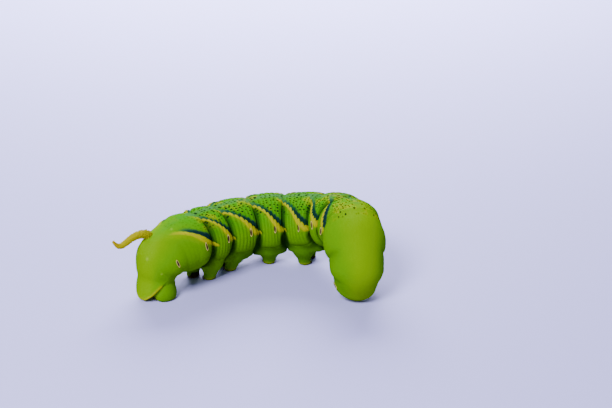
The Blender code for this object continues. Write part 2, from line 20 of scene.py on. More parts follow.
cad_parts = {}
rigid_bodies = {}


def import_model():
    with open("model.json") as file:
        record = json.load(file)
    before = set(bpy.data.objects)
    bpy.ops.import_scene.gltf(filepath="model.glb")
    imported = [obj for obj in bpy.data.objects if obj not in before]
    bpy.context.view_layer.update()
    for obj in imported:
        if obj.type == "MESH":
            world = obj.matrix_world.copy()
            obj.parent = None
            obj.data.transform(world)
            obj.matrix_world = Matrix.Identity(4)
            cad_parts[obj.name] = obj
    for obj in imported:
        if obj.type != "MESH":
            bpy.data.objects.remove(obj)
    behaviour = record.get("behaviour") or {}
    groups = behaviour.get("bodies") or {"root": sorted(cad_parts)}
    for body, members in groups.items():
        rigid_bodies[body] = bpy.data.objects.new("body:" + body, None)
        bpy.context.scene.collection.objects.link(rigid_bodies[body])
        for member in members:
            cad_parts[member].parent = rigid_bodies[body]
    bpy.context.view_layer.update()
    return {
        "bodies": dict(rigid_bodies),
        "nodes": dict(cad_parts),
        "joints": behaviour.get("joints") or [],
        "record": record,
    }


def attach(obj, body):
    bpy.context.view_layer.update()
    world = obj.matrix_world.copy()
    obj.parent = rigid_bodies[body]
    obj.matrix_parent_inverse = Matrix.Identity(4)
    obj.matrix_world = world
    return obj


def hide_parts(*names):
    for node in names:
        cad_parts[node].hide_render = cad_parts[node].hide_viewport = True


bl_info = {
    "name": "Hawkmoth Larva",
    "version": (1, 0, 0),
    "blender": (4, 5, 0),
    "location": "View3D > Sidebar > Larva",
    "description": "Dresses the solids of a hawkmoth larva with its skin, horn, head, legs and stage",
    "category": "Object",
}

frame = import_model()

MM = 0.001
UP = np.array((0.0, 0.0, 1.0))
SIDES = (("left", -1), ("right", 1))

# Body segments from the neck to the tail. turn is the bend to the animal's right, dip the bend
# down towards the head, fold the depth of the crease behind the segment, ringlets how strongly
# the fine rings of the skin show.
Segment = namedtuple("Segment", "name length half_width up down turn dip fold ringlets")
SEGMENTS = (
    Segment("prothorax",    4.8, 5.4, 4.3, 4.3, 12, 44, 0.05, 0.0),
    Segment("mesothorax",   5.5, 6.9, 6.0, 5.2, 15, 44, 0.07, 0.0),
    Segment("metathorax",   8.2, 8.0, 6.8, 6.2, 14, 42, 0.08, 0.0),
    Segment("abdomen_1",    6.8, 7.9, 6.7, 6.8, 18, 16, 0.12, 0.5),
    Segment("abdomen_2",    8.1, 8.1, 7.2, 7.2, 32, -6, 0.13, 1.0),
    Segment("abdomen_3",   10.7, 8.2, 7.5, 7.3, 29, -11, 0.13, 1.0),
    Segment("abdomen_4",    9.8, 8.5, 7.8, 7.5, 25, -4, 0.13, 1.0),
    Segment("abdomen_5",   10.3, 8.4, 7.7, 7.4, 20, -2, 0.13, 1.0),
    Segment("abdomen_6",    7.2, 8.3, 7.6, 7.3,  5, -1, 0.12, 0.9),
    Segment("abdomen_7",    7.9, 8.2, 7.7, 6.8, -5, 15, 0.03, 0.15),
    Segment("abdomen_8",    6.0, 7.3, 6.3, 5.1,  3, 56, 0.02, 0.0),
    Segment("abdomen_9_10", 6.2, 5.0, 3.0, 4.6,  4, 46, 0.0, 0.0),
)
COUNT = len(SEGMENTS)
NAMES = [segment.name for segment in SEGMENTS]
STEPS = 16
MIDDLE_STATION = 6.5
MIDDLE = np.array((3.7, 10.5, 10.8))
HEADING = 9.4
NOSE_UP = 2.1
FRONT_STEEPNESS = 5
REAR_STEEPNESS = 3
FOLD_ON_BACK = 0.45
FOLD_ON_THORAX_BACK = 0.12
THORAX_SEGMENTS = 3
FORM_SECTIONS = 32
MAP_SECTIONS = 40
SECTION_DEGREES = 3.0
HOOD_LENGTH = 0.5
HOOD_ROUNDNESS = 0.85
TAIL_LENGTH = 0.3
TAIL_ROUNDNESS = 0.6

# The front of the body is rolled a little to its left, so that its markings sit higher there.
FRONT_ROLL = 25
ROLL_ENDS = (3.4, 4.8)

# Oblique stripes: how far back a stripe has run at each height, and which segments carry one.
STRIPE_FOOT = 4
STRIPE_SPAN = 80
STRIPE_RUN = 1.2
STRIPE_SWEEP = 0.04
STRIPE_SHIFT = 0.02
FIRST_STRIPE, LAST_STRIPE = 3, 9
RINGLETS = 8

SPIRACLE_SEGMENTS = (0, 3, 4, 5, 6, 7, 8, 9, 10)
SPIRACLE_STATION = 0.35
SPIRACLE_ANGLE = 13
REAR_SPIRACLE = 10
ODD_SPIRACLES = {0: (0.56, 3), FIRST_STRIPE: (3.17, -7), REAR_SPIRACLE: (10.43, 12)}
REAR_SPIRACLE_LEAN = 20
RIM_THICKNESS = 0.065

HEAD_HALF = (3.7, 2.9, 3.6)
HEAD_REACH = 1.9
HEAD_DROP = 1.6
HEAD_TUCK = 36
HEAD_CLEFT = 0.45
HEAD_CLEFT_WIDTH = 0.16
HEAD_NARROWING = 0.16
CHEEK_LONGITUDE = 64
STEMMA_ARC = ((-52, -2), (-38, 10), (-20, 14), (-4, 10), (6, -4), (-24, -10))
MANDIBLE = (0.7, 0.65, 1.0)
MANDIBLE_PLACE = (21, -52)
LABRUM = (1.2, 0.5, 0.7)
ANTENNA_RADII = (0.45, 0.38, 0.3, 0.25)
ANTENNA_LENGTH = 1.5
ANTENNA_PLACE = (46, -38)

THORACIC_LEGS = {
    "prothorax": ((0.9, 3.9, 2.4), (1.4, 4.9, 4.4), (2.6, 4.9, 5.9), (4.0, 4.0, 6.6)),
    "mesothorax": ((-0.4, 3.5, 3.6), (-0.9, 4.6, 6.2), (-0.2, 4.5, 8.2), (1.2, 3.9, 9.4)),
    "metathorax": ((-1.6, 2.9, 4.8), (-2.8, 3.3, 8.2), (-3.7, 3.0, 10.2), (-3.9, 2.4, 11.8)),
}
LEG_RADII = (1.25, 0.95, 0.7, 0.28)
LEG_MOUND = (1.55, 1.55, 1.3)

PROLEG_FEET = {
    ("abdomen_3", "right"): (0.3, 1.7),
    ("abdomen_3", "left"): (0.4, 2.4),
    ("abdomen_4", "right"): (0.1, 1.8),
    ("abdomen_4", "left"): (0.4, 2.4),
    ("abdomen_5", "right"): (-1.7, 1.8),
    ("abdomen_5", "left"): (-2.0, 2.2),
    ("abdomen_6", "right"): (-0.7, 2.3),
    ("abdomen_6", "left"): (-3.0, 1.6),
}
PROLEG_HIP_OUT = 3.9
PROLEG_HIP_DOWN = 3.4
PROLEG_RINGS = ((0.0, 3.1, 2.6), (0.3, 3.2, 2.7), (0.48, 3.0, 2.6), (0.62, 2.6, 2.2),
                (0.74, 1.95, 1.75), (0.86, 1.7, 1.6), (0.95, 1.65, 1.55), (1.0, 1.35, 1.25))

CLASPER_OUT = 2.9
CLASPER_BACK = -0.2
CLASPER_TOP = 6.0
CLASPER_LEAN_IN = 0.4
CLASPER_RINGS = ((0.0, 2.1, 1.7), (0.35, 2.7, 2.4), (0.65, 3.1, 2.7), (0.85, 3.0, 2.6),
                 (0.95, 2.7, 2.3), (1.0, 2.3, 1.9))
PLATE_FRONT = 11.2
PLATE_TIP = 11.9
PLATE_THICKNESS = 0.5
PLATE_LIFT = 0.1
PLATE_LEAN = 1.9
PLATE_SPREAD = 86
PLATE_TAPER = 0.88
PLATE_ROWS, PLATE_COLUMNS = 32, 56
PLATE_ROOT = 0.8
PLATE_COMES_FREE = (0.0, 0.4)
PLATE_LEANS = (0.2, 1.0)
PLATE_RIM_SHARE = 0.35

HORN_STATION = 10.3
HORN_ANGLE = 105
HORN_LEAN = 8
HORN_POINTS = ((-1.0, -1.4), (0.7, 0.7), (2.3, 1.3), (4.0, 1.3), (5.5, 0.8), (6.9, 0.1),
               (8.3, -0.4), (9.4, 0.1), (10.4, 1.5))
HORN_RADII = (1.4, 1.15, 1.0, 0.92, 0.85, 0.78, 0.68, 0.5, 0.25)

HORN_CORE = 0.94
HORN_FACET = 0.09
WARTS_START, WARTS_SPAN = 0.12, 0.86
WART_SHRINK = 0.55
WART_PARTS = (0.0, 0.35, 0.7, 0.95)
WART_RADII = np.array((0.30, 0.24, 0.15, 0.07))

# Bulges of the tail: station, height, and the degrees between which they start up the flank.
TAIL_BULGES = ((11.2, 0.5, (15, 60)), (10.45, 0.8, (45, 80)))
TAIL_BULGE_LENGTH = 0.3

# A leg's joints draw in: place along its four points, half width and share of the depth.
LEG_PINCHES = ((1.0, 0.09, 1.0), (2.0, 0.08, 1.0), (2.6, 0.06, 0.8))
LEG_STEPS = 14
LEG_SIDES = 28
CLAW_CURVE = ((0.0, 0.0), (0.7, 0.0), (1.2, 0.35), (1.45, 1.0))
CLAW_RADII = (0.26, 0.2, 0.12, 0.03)
PALP_RADII = (0.5, 0.42, 0.28, 0.14)
HOOK_ARC = 164
HOOK_RADII = (0.09, 0.085, 0.06, 0.02)
BRISTLE_LONGITUDES = (8, 26, 44, 86, 104)
BRISTLE_LATITUDES = (-30, -8, 14, 36, 56)

# How far light runs in soft skin, in metres, and how far its red, green and blue go of that.
GLOW_DEPTH = 0.001
GLOW_COLOURS = (1.0, 1.0, 0.3)

# The stage, in metres: a sweep that bends up behind the larva, two lights and the camera.
SWEEP_NEAR, SWEEP_FAR, SWEEP_HIGH = -1.4, 1.6, 1.6
SWEEP_HALF_WIDTH = 2.4
SWEEP_BEND = 0.5
Light = namedtuple("Light", "name place aim size colour")
KEY_LIGHT = Light("key_light", (-0.17, -0.34, 0.38), (0.0, 0.0, 0.01), 0.22, (1.0, 0.99, 0.97))
BACK_LIGHT = Light("back_light", (0.0, 0.44, 0.24), (0.0, 0.42, 0.0), 0.45, (0.98, 0.98, 1.0))
SKY_COLOUR = (0.90, 0.91, 1.0, 1.0)
CAMERA_PLACE = (0.0139, -0.3377, 0.1668)
CAMERA_TILT = 66.6
CAMERA_SENSOR = 36.0
CAMERA_CLIP = (0.01, 10.0)

# Pale spots near the tail, as (station, angle), on both sides.
SPOTS = ((9.92, 77), (10.74, 77), (10.97, 35))
SPOT_SIZE = 0.35

Frame = namedtuple("Frame", "centre forward up side")
Where = namedtuple("Where", "station angle rise slant off forward")
SkinSizes = namedtuple("SkinSizes", "fineness crease ringlet ridge lobe")


def colour_property(name, description, colour):
    return FloatVectorProperty(name=name, description=description, subtype="COLOR", size=3,
                               min=0.0, max=1.0, default=colour)


def length_property(name, description, metres):
    return FloatProperty(name=name, description=description, default=metres, min=0.0,
                         unit="LENGTH", subtype="DISTANCE", precision=5)


class SkinSettings(bpy.types.PropertyGroup):
    fineness: length_property("Fineness", "Size of the skin's facets", 0.0002)
    crease: length_property("Crease depth", "Extra depth of the folds between segments", 0.0007)
    ringlet: length_property("Ringlet depth", "Depth of the fine rings of a segment", 0.00012)
    ridge: length_property("Ridge height", "How far a stripe stands proud", 0.00026)
    lobe: length_property("Lobe length", "How far a stripe's foot leans over the next fold", 0.0006)
    back: colour_property("Back", "Green of the abdomen's back", (0.038, 0.240, 0.001))
    flank: colour_property("Flank", "Green of the abdomen's flank", (0.080, 0.240, 0.0))
    lime: colour_property("Lime", "Yellow green on top of the thorax and the tail", (0.135, 0.275, 0.0))
    leaf: colour_property("Leaf", "Fresh green down the thorax and the tail", (0.080, 0.230, 0.0))
    # The belly green is partly the underside's own duller green and partly painted shade under the body.
    belly: colour_property("Belly", "Dull green of the underside", (0.045, 0.150, 0.005))
    # The fold green is partly the creases' own dark green and partly painted shade in the creases,
    # ringlets and stripe trenches.
    fold: colour_property("Fold", "Dark green inside the creases", (0.003, 0.028, 0.004))
    stripe: colour_property("Stripe", "Yellow of the oblique stripes", (0.33, 0.325, 0.0))
    navy: colour_property("Navy edge", "Dark blue above a stripe's foot", (0.001, 0.010, 0.030))
    teal: colour_property("Teal edge", "Blue green above a stripe's middle", (0.004, 0.050, 0.045))
    # This grey blue is partly the back's own tint and partly painted sheen along the top of the back.
    bloom_and_sheen: colour_property("Dorsal bloom", "Grey blue along the back", (0.050, 0.170, 0.070))
    speck: colour_property("Speck", "Dark dots on the back", (0.001, 0.015, 0.008))
    sole: colour_property("Sole", "Dark skin under the feet", (0.02, 0.02, 0.01))


class SpiracleSettings(bpy.types.PropertyGroup):
    height: length_property("Height", "Height of a breathing hole's rim", 0.0023)
    width: length_property("Width", "Width of a breathing hole's rim", 0.00075)
    rim: colour_property("Rim", "Pale rim of a breathing hole", (0.40, 0.34, 0.09))
    slit: colour_property("Slit", "Dark slit of a breathing hole", (0.020, 0.005, 0.002))


class HornSettings(bpy.types.PropertyGroup):
    wart: length_property("Wart height", "Height of the warts near the root", 0.00045)
    rows: IntProperty(name="Wart rows", description="Rings of warts along the horn", default=32, min=4)
    around: IntProperty(name="Warts round", description="Warts in one ring", default=13, min=4)
    root: colour_property("Root", "Colour of the horn's root", (0.22, 0.22, 0.0))
    shaft: colour_property("Shaft", "Colour of the horn's shaft", (0.30, 0.27, 0.0))
    tip: colour_property("Tip", "Colour of the horn's tip", (0.33, 0.24, 0.0))


class HeadSettings(bpy.types.PropertyGroup):
    shell: colour_property("Shell", "Green of the head", (0.14, 0.22, 0.01))
    band: colour_property("Cheek band", "Dark band down each cheek", (0.012, 0.012, 0.008))
    pale: colour_property("Pale seam", "Pale lines beside the bands", (0.40, 0.40, 0.06))
    jaw: colour_property("Jaw", "Dark brown of the jaws", (0.05, 0.018, 0.008))


class LegSettings(bpy.types.PropertyGroup):
    shell: colour_property("Shell", "Dark shell of the thoracic legs", (0.02, 0.018, 0.012))
    joint: colour_property("Joint", "Pale skin between a leg's parts", (0.20, 0.24, 0.03))
    claw: colour_property("Claw", "Claws and foot hooks", (0.035, 0.014, 0.006))
    hooks: IntProperty(name="Hooks", description="Hooks on the inner edge of one foot",
                       default=22, min=4)


class BristleSettings(bpy.types.PropertyGroup):
    length: length_property("Length", "Length of a bristle on the head", 0.0007)
    pale: colour_property("Bristle", "Pale bristles of the head", (0.30, 0.34, 0.10))


class StageSettings(bpy.types.PropertyGroup):
    floor: colour_property("Floor", "Pale lilac of the floor", (0.46, 0.445, 0.95))
    key: FloatProperty(name="Key light", description="Power of the soft light from the left",
                       default=4.9, min=0.0, unit="POWER")
    back: FloatProperty(name="Back light", description="Power of the soft light over the far floor",
                        default=9.6, min=0.0, unit="POWER")
    sky: FloatProperty(name="Sky", description="Strength of the light from all round",
                       default=0.22, min=0.0)
    lens: FloatProperty(name="Lens", description="Focal length in millimetres", default=85.0)


class LarvaSettings(bpy.types.PropertyGroup):
    skin: PointerProperty(type=SkinSettings)
    spiracles: PointerProperty(type=SpiracleSettings)
    horn: PointerProperty(type=HornSettings)
    head: PointerProperty(type=HeadSettings)
    legs: PointerProperty(type=LegSettings)
    bristles: PointerProperty(type=BristleSettings)
    stage: PointerProperty(type=StageSettings)


# The spine and the sections of the body

def turned(vector, axis, degrees):
    angle = math.radians(degrees)
    return (vector * math.cos(angle) + np.cross(axis, vector) * math.sin(angle)
            + axis * axis.dot(vector) * (1 - math.cos(angle)))


def unit(vector):
    return vector / np.linalg.norm(vector)


def level(vector):
    return unit(np.array((vector[0], vector[1], 0.0)))


def ease(value, low, high):
    """A smooth step from 0 at low to 1 at high."""
    part = np.clip((value - low) / (high - low), 0.0, 1.0)
    return part * part * (3 - 2 * part)


def between(value, comes, goes):
    """1 between two soft limits and 0 outside them."""
    return ease(value, *comes) * (1 - ease(value, *goes))


def bell(value, width):
    return np.exp(-(value / width) ** 2)


def turns_round(sides):
    return np.arange(sides) * 2 * math.pi / sides


def step_along(frame, segment, sign):
    half_turn = -sign * segment.turn / STEPS / 2
    half_dip = -sign * segment.dip / STEPS / 2
    chord = turned(turned(frame.forward, frame.side, half_dip), frame.up, half_turn)
    forward = unit(turned(turned(frame.forward, frame.side, 2 * half_dip), frame.up, 2 * half_turn))
    up = turned(turned(frame.up, frame.side, 2 * half_dip), frame.up, 2 * half_turn)
    side = unit(np.cross(forward, up))
    centre = frame.centre + chord * (sign * segment.length / STEPS)
    return Frame(centre, forward, np.cross(side, forward), side)


def bend_spine():
    """Walk from the middle of the body to both ends, turning a little at each step."""
    heading, nose = math.radians(HEADING), math.radians(NOSE_UP)
    forward = np.array((math.cos(nose) * math.cos(heading), math.cos(nose) * math.sin(heading),
                        math.sin(nose)))
    side = np.array((math.sin(heading), -math.cos(heading), 0.0))
    middle = round(MIDDLE_STATION * STEPS)
    frames = {middle: Frame(MIDDLE, forward, np.cross(side, forward), side)}
    for sign, last in ((1, 0), (-1, COUNT * STEPS)):
        index = middle
        while index != last:
            segment = SEGMENTS[(index - 1) // STEPS if sign > 0 else index // STEPS]
            frames[index - sign] = step_along(frames[index], segment, sign)
            index -= sign
    return [frames[index] for index in range(COUNT * STEPS + 1)]


SPINE = bend_spine()


def frame_at(station):
    """The spine's frame at a station: 0 is the neck, 1 the back of the prothorax, and so on."""
    place = min(max(station, 0.0), COUNT) * STEPS
    index = min(int(place), COUNT * STEPS - 1)
    part = place - index
    first, second = SPINE[index], SPINE[index + 1]
    forward = unit(first.forward + (second.forward - first.forward) * part)
    side = first.side + (second.side - first.side) * part
    side = unit(side - forward * side.dot(forward))
    centre = first.centre + (second.centre - first.centre) * part
    return Frame(centre, forward, np.cross(side, forward), side)


def segment_frame(name):
    """The spine's frame at the middle of a segment."""
    return frame_at(NAMES.index(name) + 0.5)


def blended(station, measure):
    """A measure of the segments at a station, smooth from the middle of each to the next."""
    just_short_of_the_end = COUNT - 1.001
    place = min(max(station - 0.5, 0.0), just_short_of_the_end)
    index = int(place)
    part = place - index
    part = part * part * (3 - 2 * part)
    first, second = (getattr(segment, measure) for segment in SEGMENTS[index:index + 2])
    return first * (1 - part) + second * part


def fold_at(station, index):
    part = min(max(station - index, 0.0), 1.0)
    front = SEGMENTS[index - 1].fold if index else 0.0
    return front * (1 - part) ** FRONT_STEEPNESS + SEGMENTS[index].fold * part ** REAR_STEEPNESS


def end_rounding(station):
    if station < HOOD_LENGTH:
        return math.sqrt(1 - HOOD_ROUNDNESS * (1 - station / HOOD_LENGTH) ** 2)
    if station > COUNT - TAIL_LENGTH:
        return math.sqrt(1 - TAIL_ROUNDNESS * (1 - (COUNT - station) / TAIL_LENGTH) ** 2)
    return 1.0


def section(station, degrees):
    """Points of the body right round at one station, with the outward directions there."""
    frame = frame_at(station)
    index = min(int(station), COUNT - 1)
    angles = np.radians(degrees)
    sines, cosines = np.sin(angles), np.cos(angles)
    width = blended(station, "half_width")
    height = np.where(sines > 0, blended(station, "up"), blended(station, "down"))
    on_back = FOLD_ON_THORAX_BACK if index < THORAX_SEGMENTS else FOLD_ON_BACK
    drawn_in = 1 - fold_at(station, index) * (1 - (1 - on_back) * np.maximum(0.0, sines))
    drawn_in = drawn_in * end_rounding(station)
    points = (frame.centre + np.outer(cosines * width * drawn_in, frame.side)
              + np.outer(sines * height * drawn_in, frame.up))
    outward = np.outer(cosines / width, frame.side) + np.outer(sines, frame.up) / height[:, None]
    return points, outward / np.linalg.norm(outward, axis=1)[:, None]


def surface_point(station, degrees):
    points, outward = section(station, np.array([float(degrees)]))
    return points[0], outward[0], frame_at(station)


def front_roll(station):
    return FRONT_ROLL * (1 - ease(np.asarray(station, float), *ROLL_ENDS))


# Making meshes

class Forms:
    """Closed forms gathered into one mesh, in millimetres."""

    def __init__(self):
        self.points, self.faces, self.count = [], [], 0

    def add(self, points, faces):
        self.points.append(np.asarray(points, float))
        self.faces += [tuple(self.count + corner for corner in face) for face in faces]
        self.count += len(points)

    def mesh(self, name):
        mesh = bpy.data.meshes.new(name)
        mesh.from_pydata(np.concatenate(self.points).tolist(), [], self.faces)
        bm = bmesh.new()
        bm.from_mesh(mesh)
        bmesh.ops.recalc_face_normals(bm, faces=bm.faces)
        bm.to_mesh(mesh)
        bm.free()
        return mesh


def band_faces(count, sides, closed=False):
    """Faces between rings that follow each other; a closed band joins the last to the first."""
    faces = []
    for row in range(count if closed else count - 1):
        after = (row + 1) % count
        for corner in range(sides):
            following = (corner + 1) % sides
            faces.append((row * sides + corner, row * sides + following,
                          after * sides + following, after * sides + corner))
    return faces


def closed_loft(rings):
    """A closed form through rings of equal length; its ends are drawn to a point."""
    rings = np.asarray(rings)
    count, sides = rings.shape[:2]
    points = np.concatenate([rings.reshape(-1, 3), rings[:1].mean(axis=1), rings[-1:].mean(axis=1)])
    faces = band_faces(count, sides)
    start, end, last = count * sides, count * sides + 1, (count - 1) * sides
    for corner in range(sides):
        following = (corner + 1) % sides
        faces.append((start, following, corner))
        faces.append((end, last + corner, last + following))
    return points, faces


def smooth_path(points, values, steps):
    """Points and values of a smooth curve through the given ones, steps to each stretch."""
    rows = np.column_stack([np.asarray(points, float), np.asarray(values, float)])
    padded = np.vstack([2 * rows[0] - rows[1], rows, 2 * rows[-1] - rows[-2]])
    made = []
    for before, start, end, after in zip(padded, padded[1:], padded[2:], padded[3:]):
        for t in np.arange(steps) / steps:
            made.append(0.5 * (2 * start + (end - before) * t
                               + (2 * before - 5 * start + 4 * end - after) * t ** 2
                               + (3 * start - before - 3 * end + after) * t ** 3))
    made.append(rows[-1])
    made = np.array(made)
    values = made[:, 3:]
    return made[:, :3], values.ravel() if values.shape[1] == 1 else values


def tube_rings(path, radii, sides):
    """Rings round a path that don't twist."""
    path = np.asarray(path, float)
    along = np.gradient(path, axis=0)
    along /= np.linalg.norm(along, axis=1)[:, None]
    off_every_axis = (0.3, 0.5, 0.81)
    first = unit(np.cross(along[0], off_every_axis))
    turns = turns_round(sides)
    rings = []
    for centre, way, radius in zip(path, along, radii):
        first = unit(first - way * first.dot(way))
        second = np.cross(way, first)
        rings.append(centre + radius * (np.outer(np.cos(turns), first)
                                        + np.outer(np.sin(turns), second)))
    return np.array(rings)


def tube(path, radii, sides):
    return closed_loft(tube_rings(path, radii, sides))


def egg(half_sizes, centre, forward, up, around=20, along=12):
    """An egg-shaped form: half sizes across, along forward and along up."""
    side = unit(np.cross(forward, up))
    turns = turns_round(around)
    rings = []
    for row in range(1, along):
        tilt = math.pi * (row / along - 0.5)
        rings.append(centre + np.outer(np.cos(turns) * math.cos(tilt) * half_sizes[0], side)
                     + np.outer(np.sin(turns) * math.cos(tilt) * half_sizes[1], forward)
                     + up * math.sin(tilt) * half_sizes[2])
    points, faces = closed_loft(rings)
    points[-2] = centre - up * half_sizes[2]
    points[-1] = centre + up * half_sizes[2]
    return points, faces


def place_piece(name, mesh, finish, nodes=()):
    """Make a mesh in millimetres a shown piece that rides on the body."""
    mesh.transform(Matrix.Scale(MM, 4))
    mesh.shade_smooth()
    mesh.materials.clear()
    mesh.materials.append(finish)
    piece = bpy.data.objects.new(name, mesh)
    bpy.context.scene.collection.objects.link(piece)
    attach(piece, "root")
    if nodes:
        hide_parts(*nodes)


def coordinates(mesh):
    points = np.empty(len(mesh.vertices) * 3)
    mesh.vertices.foreach_get("co", points)
    return points.reshape(-1, 3)


def normals(mesh):
    directions = np.empty(len(mesh.vertices) * 3)
    mesh.vertex_normals.foreach_get("vector", directions)
    return directions.reshape(-1, 3)


def move_points(mesh, points):
    mesh.vertices.foreach_set("co", points.ravel())
    mesh.update()


def fuse(mesh, facet):
    """Join overlapping closed forms into one even surface."""
    holder = bpy.data.objects.new("fusing", mesh)
    bpy.context.scene.collection.objects.link(holder)
    remesh = holder.modifiers.new("fuse", "REMESH")
    remesh.mode = "VOXEL"
    remesh.voxel_size = facet
    bpy.context.view_layer.update()
    evaluated = holder.evaluated_get(bpy.context.evaluated_depsgraph_get())
    fused = bpy.data.meshes.new_from_object(evaluated)
    fused.name = mesh.name
    bpy.data.objects.remove(holder, do_unlink=True)
    bpy.data.meshes.remove(mesh)
    return fused


def relax(mesh, points, weights, rounds):
    """Draw each point towards its neighbours' middle."""
    edges = np.empty(len(mesh.edges) * 2, int)
    mesh.edges.foreach_get("vertices", edges)
    first, second = edges.reshape(-1, 2).T
    count = len(points)
    neighbours = np.bincount(first, minlength=count) + np.bincount(second, minlength=count)
    neighbours = np.maximum(neighbours, 1)[:, None]
    for _ in range(rounds):
        total = np.stack([np.bincount(first, points[second, k], count)
                          + np.bincount(second, points[first, k], count) for k in range(3)], axis=1)
        points = points + (total / neighbours - points) * weights[:, None]
    return points


def relax_all(mesh, points, rounds):
    return relax(mesh, points, np.full(len(points), 0.5), rounds)


def tree_of(points):
    """A tree that finds the nearest of the given points."""
    tree = KDTree(len(points))
    for index, point in enumerate(points):
        tree.insert(point, index)
    tree.balance()
    return tree


def store(mesh, name, values):
    attribute = mesh.attributes.new(name, "FLOAT", "POINT")
    attribute.data.foreach_set("value", np.asarray(values, np.float32))


# Shader maths

def answer(operation):
    """A method that adds one Math node over the socket and what it is given."""
    return lambda self, *others: self.maths(operation, self, *others)


class Value:
    """A socket that answers to Python's own arithmetic by adding Math nodes."""

    def __init__(self, finish, socket):
        self.finish, self.socket = finish, socket

    def maths(self, operation, *values):
        return self.finish.node("Math", {"operation": operation}, dict(enumerate(values)))

    def __rsub__(self, other):
        return self.maths("SUBTRACT", other, self)

    __add__ = __radd__ = answer("ADD")
    __sub__ = answer("SUBTRACT")
    __mul__ = __rmul__ = answer("MULTIPLY")
    __truediv__ = answer("DIVIDE")
    __pow__ = answer("POWER")
    __gt__ = answer("GREATER_THAN")
    __lt__ = answer("LESS_THAN")
    __abs__ = answer("ABSOLUTE")
    __round__ = answer("ROUND")
    fraction = answer("FRACT")
    at_most = answer("MINIMUM")
    at_least = answer("MAXIMUM")

    def ease(self, low, high):
        """0 below low and 1 above high, smooth between."""
        return self.finish.node("MapRange", {"interpolation_type": "SMOOTHSTEP"},
                                {"Value": self, "From Min": low, "From Max": high})


class Finish:
    """A material and the nodes that make it."""

    def __init__(self, name, roughness=0.4, gloss=0.5, depth=0.0):
        self.material = bpy.data.materials.new(name)
        self.material.use_nodes = True
        self.tree = self.material.node_tree
        self.shader = self.tree.nodes["Principled BSDF"]
        self.use(Roughness=roughness, Specular_IOR_Level=gloss, Subsurface_Weight=depth,
                 Subsurface_Scale=GLOW_DEPTH, Subsurface_Radius=GLOW_COLOURS)

    def node(self, kind, settings=None, sockets=None, output=0):
        """Add a node: its settings first, then the values or links of its sockets."""
        node = self.tree.nodes.new("ShaderNode" + kind)
        for name, value in (settings or {}).items():
            setattr(node, name, value)
        for name, value in (sockets or {}).items():
            self.set(node.inputs[name], value)
        return Value(self, node.outputs[output])

    def set(self, socket, value):
        if isinstance(value, Value):
            self.tree.links.new(value.socket, socket)
        elif socket.type == "RGBA":
            socket.default_value = (*tuple(value)[:3], 1.0)
        else:
            socket.default_value = value

    def mix(self, share, first, second):
        """A colour between two, by a share of the second."""
        return self.node("Mix", {"data_type": "RGBA"}, {0: share, 6: first, 7: second}, output=2)

    def attribute(self, name):
        return self.node("Attribute", {"attribute_name": name}, output=2)

    def place(self):
        return self.node("TexCoord", output=3)

    def noise(self, size, detail=2.0):
        """Noise around 0, from -0.5 to 0.5, with lumps of the given size in metres."""
        sockets = {"Vector": self.place(), "Scale": 1 / size, "Detail": detail}
        return self.node("TexNoise", sockets=sockets) - 0.5

    def bump(self, height, distance):
        return self.node("Bump", sockets={"Height": height, "Distance": distance, "Strength": 1.0})

    def use(self, **sockets):
        for name, value in sockets.items():
            self.set(self.shader.inputs[name.replace("_", " ")], value)
        return self.material

    def two_tone(self, first, second, lump, share=0.4, grain=None, relief=0.0):
        """A colour that wanders from the first to the second in lumps, over a fine grain."""
        colour = self.mix(self.noise(lump) + share, first, second)
        if grain is None:
            return self.use(Base_Color=colour)
        return self.use(Base_Color=colour, Normal=self.bump(self.noise(grain), relief))


# The skin

def body_form():
    degrees = np.arange(0, 360, SECTION_DEGREES)
    stations = np.linspace(0, COUNT, COUNT * FORM_SECTIONS + 1)
    return closed_loft([section(station, degrees)[0] for station in stations])


def oval_rings(foot, sides=48):
    """Oval rings from a foot's top to its sole, smooth through its sizes."""
    parts = np.array(foot.sizes)
    path, halves = smooth_path([(part, 0, 0) for part in parts[:, 0]], parts[:, 1:], 4)
    turns = turns_round(sides)
    return [foot.top + (foot.sole - foot.top) * part
            + np.outer(np.cos(turns) * half_length, foot.forward)
            + np.outer(np.sin(turns) * half_width, foot.inward)
            for (part, _, _), (half_length, half_width) in zip(path, halves)]


Foot = namedtuple("Foot", "name top sole forward inward sizes")


def feet():
    """Every proleg and clasper: where it starts and stands, and which way it faces."""
    made = []
    for (name, side_name), (ahead, out) in PROLEG_FEET.items():
        frame = segment_frame(name)
        sign = 1 if side_name == "right" else -1
        forward, side = level(frame.forward), level(frame.side)
        top = frame.centre + side * sign * PROLEG_HIP_OUT - UP * PROLEG_HIP_DOWN
        sole = frame.centre + forward * ahead + side * sign * out
        sole[2] = 0.0
        made.append(Foot(f"proleg_{name[-1]}_{side_name}", top, sole, forward, -side * sign,
                         PROLEG_RINGS))
    frame = frame_at(COUNT)
    back, side = level(frame.up), level(frame.side)
    for side_name, sign in SIDES:
        sole = frame.centre + side * sign * CLASPER_OUT - back * CLASPER_BACK
        sole[2] = 0.0
        top = sole + UP * CLASPER_TOP - side * sign * CLASPER_LEAN_IN
        made.append(Foot("clasper_" + side_name, top, sole, -back, -side * sign, CLASPER_RINGS))
    return made


def leg_points(name, sign):
    """The joints of one thoracic leg, from its root to its claw."""
    frame = segment_frame(name)
    return [frame.centre + frame.forward * ahead + frame.side * sign * out - frame.up * drop
            for ahead, out, drop in THORACIC_LEGS[name]]


def leg_roots():
    for name in THORACIC_LEGS:
        for sign in (-1, 1):
            points = leg_points(name, sign)
            yield points[0], unit(points[1] - points[0])


def plate_point(station, degrees, lift):
    inside = min(station, COUNT - TAIL_LENGTH)
    point, out, frame = surface_point(inside, degrees)
    return point + out * lift - frame.forward * (station - inside) * SEGMENTS[-1].length


def plate_half_angle(share):
    return PLATE_SPREAD * (1 - PLATE_TAPER * share)


